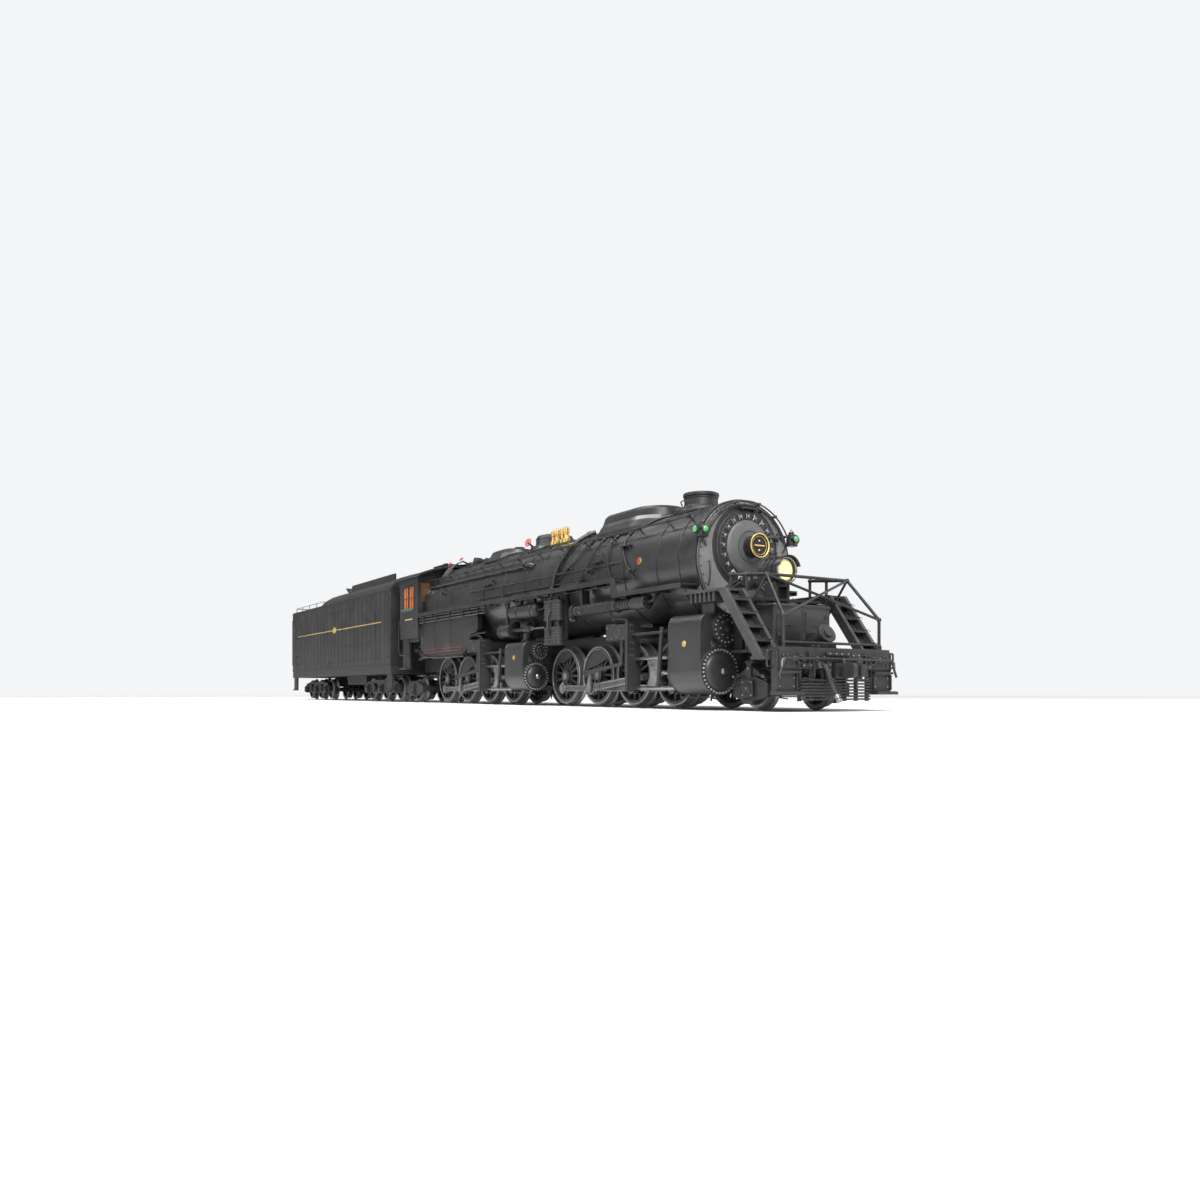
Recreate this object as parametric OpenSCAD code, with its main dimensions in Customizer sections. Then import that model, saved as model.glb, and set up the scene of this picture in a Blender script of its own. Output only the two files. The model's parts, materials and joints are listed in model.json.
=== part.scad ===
// Articulated compound freight locomotive (2-8-8-2) with a six-axle tender, in 1:48.
// +X runs forward, +Y to the left, +Z up. The origin is the centre of the plan, on the
// plane that the wheel flanges stand on. Rail tops are one flange depth above it.

/* [Running gear] */
// Radius of a driving wheel at its tread
driver_r = 15.35; // [15:0.05:15.5]
// Distance between neighbouring driving axles
driver_pitch = 33.3; // [33.2:0.1:33.6]
// Depth of a wheel flange below the rail top
flange = 1.2; // [1:0.1:1.3]
// Throw of the driving crank pins
crank_r = 7; // [6:0.25:7.25]
// Crank angle of the right side at rest, 0 is forward and -90 is straight down
crank_right = -75; // [-90:5:-60]
// Number of spokes in a driving wheel
spokes = 15; // [12:1:16]
// Radius of a leading or trailing truck wheel
truck_wheel_r = 7.95; // [7.6:0.05:8]
// Radius of a tender wheel
tender_wheel_r = 9; // [8.6:0.1:9]

/* [Cylinders] */
// Outer radius of a front, low pressure cylinder
front_cyl_r = 9.8; // [9.4:0.1:9.8]
// Outer radius of a rear, high pressure cylinder
rear_cyl_r = 7.9; // [7.5:0.1:8]
// Distance of the cylinder centre lines from the middle of the engine
cyl_y = 26.8; // [26.6:0.1:27]

/* [Boiler] */
// Radius of the smokebox
smokebox_r = 27; // [26.5:0.1:27]
// Radius of the boiler over the firebox
firebox_r = 28.8; // [28.4:0.1:28.8]
// Height of the boiler centre line
boiler_z = 67.2; // [67:0.1:68]

// Height of the rear running boards
board_z = 62.8; // [61:0.1:63]

/* [Tender] */
// Half the width of the tender tank
tank_w = 34; // [33:0.5:34]
// Height of the tank sides
tank_top = 86; // [84:0.5:87]

/* [Hidden] */
$fn = 64;

axle_z = flange + driver_r;      // driving axles and cylinder centre lines
front_x = 267;                   // first driving axle of the front engine
rear_x = 104.8;                  // first driving axle of the rear engine
main_len = 62.6;                 // main rod, pin to pin
crank_left = crank_right + 90;
lead_left = -90;                 // return crank pins, as angles from the crank
lead_right = 90;
return_r = 3.4;                  // throw of the return crank pins
front_valve_z = 34.6;
rear_valve_z = 31.2;
pin_r = 1.5;                     // crank pins and pivot pins
hole_r = 1.6;                    // holes that turn on them
journal_r = 1.1;                 // axle ends of the truck wheels
frame_w = 10.6;                  // half width of the engine frames
pivot_x = 133;                   // articulation pin
pony_x = 323;
pony_pivot = 300;
trail_x = -49;
trail_pivot = -16;
bar_loco_x = -57;                // drawbar pins
bar_tender_x = -79;
truck_front_x = -118;
truck_rear_x = -301;
truck_pitch = 32;
tank_rear = -349;
tank_front = -69;
coupler_x = tank_rear + 10;      // pin of the rear coupler
stack_x = 262;
door_z = boiler_z + 5.4;         // centre of the smokebox door
front_board_z = 55.4;            // top of the front running boards
hanger_gap = 0.85;               // board top down to the hangers below it
deck_z = 25.4;                   // top of the pilot deck
post_z = deck_z + 0.05;          // foot of what stands on the deck

// ---------- helpers ----------
// cylinders along each axis, given the span along it and the two other coordinates
module xcyl(radius, x0, x1, y, z, facets = 64) {
  translate([x0, y, z]) rotate([0, 90, 0]) cylinder(r = radius, h = x1 - x0, $fn = facets);
}
module ycyl(radius, y0, y1, x, z, facets = 64) {
  translate([x, y1, z]) rotate([90, 0, 0]) cylinder(r = radius, h = y1 - y0, $fn = facets);
}
module zcyl(radius, z0, z1, x, y, facets = 48) {
  translate([x, y, z0]) cylinder(r = radius, h = z1 - z0, $fn = facets);
}
// cylinders on one line, rows of [radius, start, end, facets]
module xcyls(y, z, rows) { for (row = rows) xcyl(row[0], row[1], row[2], y, z, row[3]); }
module zcyls(x, y, rows) { for (row = rows) zcyl(row[0], row[1], row[2], x, y, row[3]); }
module box(x0, x1, y0, y1, z0, z1) {
  translate([x0, y0, z0]) cube([x1 - x0, y1 - y0, z1 - z0]);
}
// a box centred across the width
module midbox(x0, x1, half_width, z0, z1) box(x0, x1, -half_width, half_width, z0, z1);
module right_side() mirror([0, 1, 0]) children();
module both() {
  children();
  right_side() children();
}
module pairbox(x0, x1, y0, y1, z0, z1) both() box(x0, x1, y0, y1, z0, z1);
// extrude a (y, z) shape along x
module xext(x0, x1) {
  translate([x0, 0, 0]) rotate([90, 0, 90]) linear_extrude(x1 - x0) children();
}
// extrude an (x, z) shape along y
module yext(y0, y1) {
  translate([0, y1, 0]) rotate([90, 0, 0]) linear_extrude(y1 - y0) children();
}
// revolve an [r, x] outline about a line along x
module xrev(y, z, facets = 96) {
  translate([0, y, z]) rotate([0, 90, 0]) rotate_extrude($fn = facets) children();
}
// a round bar between two points
module rod(from, to, radius, facets = 20) {
  span = to - from;
  length = norm(span);
  translate(from) rotate([0, acos(span[2] / length), atan2(span[1], span[0])])
    cylinder(r = radius, h = length, $fn = facets);
}
// an upright pin on the centre line with a head at its foot
module headed_pin(x, z0, z1, head_r, head_z0, head_z1)
  zcyls(x, 0, [[pin_r, z0, z1, 32], [head_r, head_z0, head_z1, 32]]);
module at_axle(x) translate([x, 0, axle_z]) children();
module at_x(x) translate([x, 0, 0]) children();

function polar(radius, angle) = radius * [cos(angle), sin(angle)];
function arc(radius, from, to, steps, centre = [0, 0]) =
  [for (i = [0:steps]) centre + polar(radius, from + (to - from) * i / steps)];
function direction(from, to) = atan2(to[1] - from[1], to[0] - from[0]);
// half an outline, completed by its mirror image across the vertical axis
function mirrored(half) =
  concat(half, [for (i = [len(half) - 1:-1:0]) [-half[i][0], half[i][1]]]);

// ---------- wheels, built about the centre of their axle ----------
hub_r = 3.9;
rim_r = 12.9;     // inside of a driver's tyre
spoke_w = 1.3;    // at the hub, narrowing to 0.8 of it at the rim

// tread and flange ring on the +Y side, as [radius, y]
module tyre(radius, inner) {
  rotate([-90, 0, 0]) rotate_extrude($fn = 96) polygon([
    [inner, 14.4], [radius + flange - 0.5, 14.2], [radius + flange, 14.5],
    [radius + flange, 14.9], [radius + 0.25, 15.5], [radius, 15.8],
    [radius - 0.15, 19.4], [radius - 0.4, 19.6], [inner, 19.6]]);
}
// one outline with a ten-point window between each pair of spokes
module spoked_centre() {
  half = 180 / spokes;
  hub_half = half - asin(spoke_w / 2 / hub_r);
  rim_half = half - asin(spoke_w * 0.8 / 2 / rim_r);
  outline = [for (i = [0:59]) polar(rim_r + 0.3, i * 6)];
  windows = [for (k = [0:spokes - 1]) let (middle = 360 * (k + 0.5) / spokes)
    each concat(arc(rim_r - 0.2, middle - rim_half, middle + rim_half, 5),
      arc(hub_r + 0.5, middle + hub_half, middle - hub_half, 3))];
  paths = concat([[for (i = [0:59]) i]],
    [for (k = [0:spokes - 1]) [for (j = [0:9]) 60 + k * 10 + j]]);
  yext(15.8, 18.4) polygon(concat(outline, windows), paths);
}
module driver_side(crank, lead, main) {
  weight_half = main ? 62 : 46;
  crank_pin = polar(crank_r, crank);
  tyre(driver_r, rim_r);
  spoked_centre();
  ycyl(hub_r, 14.4, 19.9, 0, 0);
  // counterweight crescent opposite the crank
  rotate([0, -(crank + 180), 0]) yext(15.4, 19.2) polygon(
    concat(arc(13.1, -weight_half, weight_half, 16), [[13.1 * cos(weight_half) - 0.8, 0]]));
  // crank boss and pin
  ycyl(3, 15.6, 20.4, crank_pin[0], crank_pin[1]);
  ycyl(pin_r, 19.8, main ? 25.4 : 23, crank_pin[0], crank_pin[1]);
  if (main) return_crank(crank_pin, polar(return_r, crank + lead));
  else ycyl(1.9, 22.95, 23.25, crank_pin[0], crank_pin[1]);
}
// return crank carried on the main pin
module return_crank(from, to) {
  length = norm(to - from);
  yext(25.4, 26.7) {
    translate(from) circle(1.9);
    translate(to) circle(1.5);
    translate(from) rotate(direction(from, to))
      polygon([[0, -1.5], [length, -1.1], [length, 1.1], [0, 1.5]]);
  }
  ycyl(0.8, 26.6, 28, to[0], to[1], 32);
}
module driver(x, main = false, gear = false) {
  color([0.12, 0.12, 0.12]) at_axle(x) {
    driver_side(crank_left, lead_left, main);
    right_side() driver_side(crank_right, lead_right, main);
    // the axle shaft is its own piece between the two pressed-on wheels
    ycyl(2, -14.38, 14.38, 0, 0);
    if (gear) difference() {
      ycyl(5.6, -2, 2, 0, 0);
      for (i = [0:19]) rotate([0, i * 18, 0]) box(4.9, 6, -3, 3, -0.42, 0.42);
    }
  }
}
module small_wheelset(x, radius) {
  color([0.16, 0.16, 0.16]) translate([x, 0, flange + radius]) {
    both() {
      tyre(radius, radius - 1.9);
      // dished centre, as [radius, y]
      rotate([-90, 0, 0]) rotate_extrude($fn = 64) polygon([
        [0, 14.6], [2.6, 14.6], [radius - 2.4, 16.2], [radius - 1.7, 16],
        [radius - 1.7, 18.8], [radius - 2.4, 18.4], [2.6, 18.9], [2.2, 19.8], [0, 19.8]]);
      ycyl(journal_r, 19.6, 22.2, 0, 0, 32);
    }
    ycyl(1.6, -14.8, 14.8, 0, 0, 48);
  }
}

// ---------- rods, built about the engine's first driving axle ----------
function crank_pin(i, crank) = [-i * driver_pitch, 0] + polar(crank_r, crank);
function main_pin(crank) = crank_pin(2, crank);
function wrist_x(crank) =
  main_pin(crank)[0] + sqrt(main_len * main_len - pow(crank_r * sin(crank), 2));
function eye_r(i) = i == 2 ? 3.4 : 2.8;

module side_rod(crank) {
  pins = [for (i = [0:3]) crank_pin(i, crank)];
  pin_z = pins[0][1];
  color([0.3, 0.3, 0.31]) difference() {
    union() {
      yext(21, 22.8) {
        for (i = [0:3]) translate(pins[i]) circle(eye_r(i));
        translate([pins[3][0], pin_z - 1.5]) square([3 * driver_pitch, 3]);
      }
      // oil cups and knuckle pins
      for (i = [0:3]) ycyl(0.6, 21.3, 22.5, pins[i][0], pin_z + eye_r(i) + 0.3, 24);
      for (x = [pins[1][0] + 5.4, pins[2][0] - 5.8]) ycyl(1.9, 20.8, 22.9, x, pin_z, 32);
    }
    for (pin = pins) ycyl(hole_r, 20, 24, pin[0], pin[1]);
    // flutes: [pin ahead, gap behind that pin, gap ahead of the next]
    for (flute = [[0, 4.2, 8.6], [1, 9, 5], [2, 9, 4.6]])
      box(pins[flute[0] + 1][0] + flute[2], pins[flute[0]][0] - flute[1],
        22.4, 23, pin_z - 0.8, pin_z + 0.8);
  }
}
module main_rod(crank) {
  pin = main_pin(crank);
  color([0.34, 0.34, 0.35])
    translate([pin[0], 0, pin[1]]) rotate([0, -direction(pin, [wrist_x(crank), 0]), 0])
    difference() {
      yext(23.4, 25.1) {
        circle(3.4);
        polygon([[-4.6, -2.6], [3.6, -2.6], [6, -2.1], [main_len - 3, -1.5],
          [main_len, -1.5], [main_len, 1.5], [main_len - 3, 1.5], [6, 2.1],
          [3.6, 2.6], [-4.6, 2.6]]);
        translate([main_len, 0]) circle(2.4);
      }
      ycyl(hole_r, 23, 26, 0, 0);
      yext(24.7, 25.4)
        polygon([[8, -1.2], [main_len - 6, -0.8], [main_len - 6, 0.8], [8, 1.2]]);
    }
}
module crosshead(crank) {
  color([0.4, 0.4, 0.41]) at_x(wrist_x(crank)) {
    difference() {
      yext(25.4, 29.4) polygon([[-5.2, -5.9], [5.2, -5.9], [5.2, -4], [3.2, -2.6],
        [3.2, 2.6], [5.2, 4], [5.2, 5.9], [-5.2, 5.9], [-5.2, 4], [-3.6, 2.6],
        [-3.6, -2.6], [-5.2, -4]]);
      box(-2, 2, 29, 30, 3, 5);
    }
    ycyl(1.5, 29.3, 30.3, 0, 0, 32);
    // piston rod and its collar
    xcyls(cyl_y, 0, [[1.5, 3, 5, 32], [1.1, 3, 33, 32]]);
  }
}

// ---------- cylinders and valve motion, x from the engine's first driving axle ----------
module cylinder_blocks(radius, valve_z, valve_r, top) {
  edge_y = cyl_y + radius;
  color([0.15, 0.15, 0.15]) both() difference() {
    union() {
      xext(18, 40.5) polygon(concat([[10.65, top - 2.2], [10.65, 13]],
        arc(radius, 200, 360, 20, [cyl_y, axle_z]), [[edge_y, top - 5]],
        arc(5, 10, 90, 6, [edge_y - 5, top - 5]), [[26, top], [21, top - 2.2]]));
      // rear cover, front flange and domed front cover with its nut
      xcyls(cyl_y, axle_z, [[radius - 0.6, 16.6, 18.2, 64], [radius + 0.3, 40.4, 41.6, 64]]);
      xrev(cyl_y, axle_z) polygon(concat([[0, 41.4]], [for (i = [0:8])
        [(radius - 1.7) * cos(i * 11.25), 41.5 + 2 * sin(i * 11.25)]]));
      xcyl(1.5, 43.2, 44.2, cyl_y, axle_z, 6);
      // valve chest and its covers
      xcyls(24.8, valve_z, [[valve_r, 14.5, 42.2, 64], [valve_r + 0.6, 42, 43, 64],
        [valve_r - 1.6, 42.9, 43.9, 64], [valve_r - 2, 12.5, 14.6, 64]]);
    }
    xcyl(1.2, 10, 38.5, cyl_y, axle_z, 32);
  }
}
// guide bars, guide yoke, link bracket, eccentric rod and combination lever of one side
module motion_side(crank, lead, valve_z) {
  yoke_x = -20.6;
  lever_x = 6.6;      // top of the combination lever
  lever_z = valve_z + 0.4;
  color([0.17, 0.17, 0.17]) {
    // yoke
    box(yoke_x, yoke_x + 2, 25.8, 33.5, 8, 40.5);
    box(yoke_x, yoke_x + 2, 10.7, 26, 34, 38.8);
    // guide bars
    for (z = [6.2, -7.7]) box(yoke_x + 1.9, 16.4, 25.8, 29, axle_z + z, axle_z + z + 1.5);
    // link bracket plates and cross pieces
    box(yoke_x - 17, yoke_x + 0.1, 32, 33.2, 32.5, 40);
    box(yoke_x - 17, yoke_x + 0.1, 27.6, 28.6, 34, 40);
    box(yoke_x - 17, yoke_x - 15, 27.7, 33.1, 33.5, 39.9);
    box(yoke_x - 9, yoke_x - 7, 10.7, 28, 34.2, 38.6);
    // link and its trunnion
    yext(29.4, 31)
      polygon(concat(arc(36, -16, 16, 8, [-62, 30]), arc(33.4, 16, -16, 8, [-62, 30])));
    ycyl(1.8, 28.5, 32.1, -27.6, 36, 32);
    // radius rod to the valve stem
    box(-27.5, 7, 29.8, 31, valve_z - 0.2, valve_z + 1);
    ycyl(0.9, 26.4, 32.1, lever_x, lever_z, 24);
    xcyl(0.7, 6, 12.45, 27.1, valve_z, 24);
    ycyl(1.1, 26.2, 30, lever_x, lever_z, 24);
    // combination lever hangs outside the crosshead
    yext(31, 32) polygon([[lever_x - 1.1, valve_z + 2.6], [lever_x + 1.1, valve_z + 2.6],
      [4.4, 10.4], [2.6, 10.4]]);
    ycyl(1.1, 30.8, 32.3, 3.5, 11, 24);
  }
  // eccentric rod from the return crank to the link foot
  from = [-2 * driver_pitch, axle_z] + polar(return_r, crank + lead);
  foot = [-26.8, 21.8];
  length = norm(foot - from);
  color([0.35, 0.35, 0.36]) {
    yext(28.3, 29.5) translate(from) rotate(direction(from, foot)) {
      circle(2);
      polygon([[0, -1.1], [length - 1, -0.7], [length, -0.7], [length, 0.7],
        [length - 1, 0.7], [0, 1.1]]);
      translate([length, 0]) circle(1.3);
    }
    ycyl(0.6, 28.2, 31, foot[0], foot[1], 24);
    ycyl(0.9, 29.3, 30, from[0], from[1], 24);
  }
}
module motion_brackets(valve_z) {
  motion_side(crank_left, lead_left, valve_z);
  right_side() motion_side(crank_right, lead_right, valve_z);
}

// ---------- boiler ----------
cone_rear = 82;     // the boiler tapers between these two
cone_front = 235;
band_half = 0.8;    // half the width of a band
// centres of the boiler bands, front to rear
bands = [279, 262, cone_front, 211.5, 183.6, 152, 135, 108.4, cone_rear, 57, 32, 8];
function boiler_r(x) = x >= cone_front ? smokebox_r : x <= cone_rear ? firebox_r
  : firebox_r + (smokebox_r - firebox_r) * (x - cone_rear) / (cone_front - cone_rear);
function band_outline(x) = let (rear = x - band_half, front = x + band_half)
  [[boiler_r(rear), rear], [boiler_r(rear) + 0.35, rear],
    [boiler_r(front) + 0.35, front], [boiler_r(front), front]];

// the boiler with its bands, as a solid, for trimming what is mounted on it
module boiler_trim() {
  xrev(0, boiler_z, 128) polygon([[0, -22], [firebox_r + 0.4, -22],
    [firebox_r + 0.4, cone_rear], [smokebox_r + 0.4, cone_front], [smokebox_r + 0.4, 289],
    [smokebox_r + 0.55, 289.2], [smokebox_r + 0.55, 292.6], [0, 292.6]]);
  midbox(-20, 62.1, firebox_r, 30, boiler_z);
}
module boiler_shell() {
  color([0.17, 0.17, 0.18]) difference() {
    union() {
      xrev(0, boiler_z, 128) polygon(concat([[0, -19], [firebox_r, -19]],
        [for (i = [len(bands) - 1:-1:0]) each band_outline(bands[i])],
        [[smokebox_r, 289.6], [smokebox_r + 0.5, 289.7], [smokebox_r + 0.5, 292.4],
          [0, 292.4]]));
      // firebox wrapper
      midbox(-19, 62, firebox_r - 0.05, 34, boiler_z);
      // side casings over the rear drivers
      both() yext(28, 31) polygon([[-15.8, 57.2], [75, 57.2], [77.6, 56], [78.4, 54],
        [77.8, 47.4], [76.6, 45.6], [74.6, 45], [70, 44.8], [67, 43], [62, 36], [59, 33.6],
        [55, 32.4], [-10, 32.4], [-15.8, 38]]);
      // saddle that slides on the front frame, and the exhaust casting under the smokebox
      midbox(205, 235, 9, 37.6, 50);
      zcyl(6, 37.6, 50, 274, 0);
    }
    xrev(0, boiler_z) polygon([[0, -17.5], [25.2, -17.5], [25.2, 293], [0, 293]]);
    midbox(-17.5, 60.5, 27.2, 36, boiler_z);
    midbox(14, 60.4, 10, 30, 40);
    // stack opening
    zcyl(4.6, 80, 110, stack_x, 0);
  }
}
module smokebox_front() {
  color([0.24, 0.24, 0.25]) difference() {
    union() {
      xcyls(0, boiler_z,
        [[25.1, 288, 292.3, 96], [26.6, 292.45, 293.6, 96], [25.1, 292.2, 292.6, 96]]);
      // door
      xrev(0, door_z) polygon([[0, 293], [16, 293], [16, 294.6], [15.4, 295.2],
        [12.6, 295.2], [12.4, 295.8], [11.4, 296.6], [8, 297.6], [4, 298.1], [0, 298.2]]);
      // lugs round the door
      for (i = [0:19]) translate([295, 0, door_z]) rotate([-i * 18, 0, 0])
        translate([0, 0, 14.1]) cube([1.6, 1.3, 2.6], center = true);
    }
    xcyl(22.5, 286, 290.8, 0, boiler_z, 96);
  }
}
module number_plate() {
  color([0.1, 0.1, 0.1]) {
    xcyls(0, door_z, [[5, 298.25, 302.6, 64], [5.6, 302.5, 303.2, 64]]);
    difference() {
      xcyl(5.6, 303.1, 303.6, 0, door_z);
      xcyl(5.05, 303, 304, 0, door_z);
    }
  }
}
module smokestack() {
  color([0.14, 0.14, 0.14]) difference() {
    union() {
      at_x(stack_x) rotate_extrude() polygon([[0, 91], [10.6, 91], [10.4, 93.6],
        [9.6, 95.4], [8.2, 96.4], [7.9, 100.6], [8.6, 101], [8.6, 102.2], [0, 102.2]]);
      // stack apron towards the rear
      midbox(248.6, stack_x, 6, 91, 96);
    }
    xcyl(smokebox_r + 0.38, 230, 295, 0, boiler_z, 128);
    zcyl(6.4, 88, 104, stack_x, 0);
  }
}
// a dome with round ends: profile of [r, z] swept round and along x
module long_dome(x0, x1, profile) {
  for (x = [x0, x1]) at_x(x) rotate_extrude($fn = 72) polygon(profile);
  xext(x0, x1) polygon(mirrored(profile));
}
module boiler_domes() {
  color([0.15, 0.15, 0.15]) difference() {
    union() {
      long_dome(204, 228, [[0, 84], [19.5, 84], [18.8, 90], [17.2, 93.4], [15.8, 95.4],
        [14.6, 99], [13.2, 100.4], [0, 101]]);
      for (x = [198, 224]) zcyl(3.6, 100, 101.9, x, 0, 32);
      at_x(121) rotate_extrude() polygon([[0, 86], [16, 86], [14.6, 91], [12.4, 94.4],
        [11.6, 96], [11.4, 99.6], [10.4, 101.4], [7, 102.2], [0, 102.3]]);
      long_dome(61, 72, [[0, 84], [17, 84], [15.8, 91], [13.4, 94.8], [12.2, 96.8],
        [11.4, 98.4], [9.6, 99.4], [0, 99.6]]);
      for (x = [58, 75]) zcyl(3.2, 99, 100.8, x, 0, 32);
    }
    boiler_trim();
  }
}
module safety_valves() {
  color([0.8, 0.62, 0.25]) difference() {
    for (place = [[135.6, -9], [140.6, -9.6], [146, -9], [151, -9.6]])
      zcyls(place[0], place[1], [[2.2, 90, 95.4, 32], [2, 95.3, 96.9, 6],
        [1.4, 90, 101, 32], [1.75, 98.8, 101.4, 32]]);
    boiler_trim();
  }
}
module class_lamps() {
  lamp_x = 295.4;
  lamp_y = 26.6;
  lens_z = 78.4;
  color([0.12, 0.12, 0.12]) both() {
    box(293.65, 297.5, 24, 28.6, 75.2, 76.2);
    zcyls(lamp_x, lamp_y, [[2.3, 76.1, 80.6, 32], [1.3, 80.5, 81.8, 32]]);
    xcyl(1.75, 297, 298.6, lamp_y, lens_z, 32);
    ycyl(1.75, 28.6, 30, lamp_x, lens_z, 32);
  }
}

// ---------- running boards and rails ----------
board_y = 34.6;    // outer edge of the boards
// a board with a lip along its outer edge
module board(x0, x1, inner_y, z) {
  box(x0, x1, inner_y, board_y, z - 0.8, z);
  box(x0, x1, 34, board_y, z - 2.2, z - 0.7);
}
module running_boards() {
  color([0.13, 0.13, 0.13]) difference() {
    both() {
      board(-15, 238, 27, board_z);
      board(236, 291, 24.2, front_board_z);
      // step down between the boards
      yext(33.8, board_y) polygon([[234, board_z], [238, board_z],
        [240.4, front_board_z - 0.1], [236, front_board_z - 0.1]]);
      // brackets down to the boiler
      for (x = [10:30:220]) box(x, x + 1, 27, 33.8, board_z - 3.2, board_z - 0.7);
      for (x = [246, 268, 288])
        box(x, x + 1, 23, 33.8, front_board_z - 2.3, front_board_z - 0.7);
      // pipe rack under the rear board
      for (i = [0:2]) xcyl(0.6, -14, 92, 32.6, board_z - 6.4 + i * 1.85, 16);
      for (x = [-6:22:82]) box(x, x + 1.2, 31.6, 33.6, board_z - 7.4, board_z - 0.7);
    }
    boiler_trim();
  }
}
module handrails() {
  rail_angle = 38;      // above the horizontal, seen from the boiler centre
  rail = [0, boiler_z] + polar(31, rail_angle);
  grab_r = 24.6;
  color([0.2, 0.2, 0.2]) both() {
    xcyl(0.5, -12, 285, rail[0], rail[1], 24);
    for (x = [-4, 20, 45, 70, 95, 120, 145, 170, 195, 220, 245, 268, 284]) {
      foot = [0, boiler_z] + polar(boiler_r(x) + 0.02, rail_angle);
      xcyl(0.85, x - 0.8, x + 0.8, rail[0], rail[1], 24);
      rod([x, foot[0], foot[1]], [x, rail[0], rail[1]], 0.36, 16);
    }
  }
  // grab rail round the smokebox front
  color([0.2, 0.2, 0.2]) {
    translate([294.8, 0, boiler_z]) rotate([0, 90, 0]) rotate([0, 0, 112])
      rotate_extrude(angle = 136, $fn = 96) translate([grab_r, 0]) circle(0.45, $fn = 20);
    for (a = [-62, -22, 22, 62])
      xcyl(0.75, 293.62, 295, grab_r * sin(a), boiler_z + grab_r * cos(a), 20);
  }
}

// ---------- equipment under the boards, all built on the left ----------
// a strap from z0 up to just under the rear board
module hanger(x0, x1, y0, y1, z0) box(x0, x1, y0, y1, z0, board_z - hanger_gap);
module aftercooler() {
  xcyls(31, 49.6, [[2.5, 196, 256, 40], [3.3, 252, 262, 40],
    for (i = [0:6]) [3, 200 + i * 5, 201 + i * 5, 40]]);
  hanger(203.5, 204.7, 27.2, 32, 52);
  box(243.5, 244.7, 27.2, 32, 52, front_board_z - hanger_gap);
}
// cross compound pump, two columns side by side
module air_pump() {
  for (x = [-3.8, 3.8]) zcyls(175 + x, 31, [[3.6, 47, 56, 40], [4, 46, 47.2, 40],
    [4, 55.4, 56.8, 40], [1.4, 42, 47, 24], [3.7, 34, 42, 40], [4.1, 41.2, 42.4, 40],
    [4.1, 33, 34.2, 40]]);
  hanger(167, 183, 27.4, 28.6, 36);
}
module feed_pump() {
  zcyls(175, 31.6, [[4.4, 34, 45, 40], [4.9, 44.4, 45.6, 40], [1.6, 45, 49, 24],
    [4.4, 48.6, 57.4, 40], [4.9, 33, 34.4, 40]]);
  hanger(170, 180, 27.4, 28.6, 36);
}
module reservoir() {
  xrev(30, 53.6, 48) polygon([[0, 124], [2.6, 124.2], [4, 125.4], [4, 154.6],
    [2.6, 155.8], [0, 156]]);
  for (x = [134, 150]) hanger(x, x + 1.2, 29, 31, 56.5);
}
module power_reverse() {
  xcyls(30, 43.4, [[3.6, 112, 124, 40], [4.1, 111, 112.2, 40], [4.1, 123.6, 124.8, 40],
    [1.1, 124, 146, 24], [2, 140, 147, 24]]);
  box(114, 122, 24, 28, 40, 49);
  hanger(117, 119, 29.4, 31, 46);
}
module lubricator() {
  box(110, 122, 26.4, 33, 40, 47.6);
  hanger(115, 117, 29.4, 31, 47.5);
}
module air_equipment() {
  color([0.15, 0.15, 0.15]) {
    both() {
      aftercooler();
      reservoir();
    }
    right_side() {
      air_pump();
      power_reverse();
    }
    feed_pump();
    lubricator();
  }
}

// ---------- cab ----------
// upright sides from z0 under an arched top
module arch(half_width, radius, z0) {
  half = asin(half_width / radius);
  polygon(concat([[-half_width, z0]], arc(radius, 90 + half, 90 - half, 20, [0, 12.3]),
    [[half_width, z0]]));
}
module cab() {
  color([0.15, 0.155, 0.15]) difference() {
    union() {
      difference() {
        xext(-50, -16) arch(33.6, 85, 46);
        xext(-48.8, -17.2) arch(32.4, 84, 48);
        // doorway in the rear wall
        midbox(-51, -48, 20, 48, 84);
      }
      // arched roof over both walls, with hatch
      difference() {
        xext(-60, -8) arch(35.2, 85.6, 89.6);
        xext(-60.5, -7.5) arch(34.4, 84.6, 88);
      }
      midbox(-36, -14, 12, 95.6, 98.9);
      midbox(-37, -13, 13, 98.8, 99.6);
      // seats and window sills
      pairbox(-44, -24, 20, 32.5, 47.9, 58);
      pairbox(-45, -22, 33.5, 34.6, 65.4, 66.6);
    }
    // side windows and front windows
    for (x = [-43.6, -32.8]) midbox(x, x + 9.4, 40, 67, 83);
    pairbox(-18, -15, 24, 31.2, 72, 86);
    // opening for the boiler
    xcyl(firebox_r + 0.4, -19.4, -12, 0, boiler_z, 96);
    midbox(-19.4, -12, 29.2, 40, boiler_z);
    // hollow under the hatch
    midbox(-33, -17, 9, 94, 98);
  }
}

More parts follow.
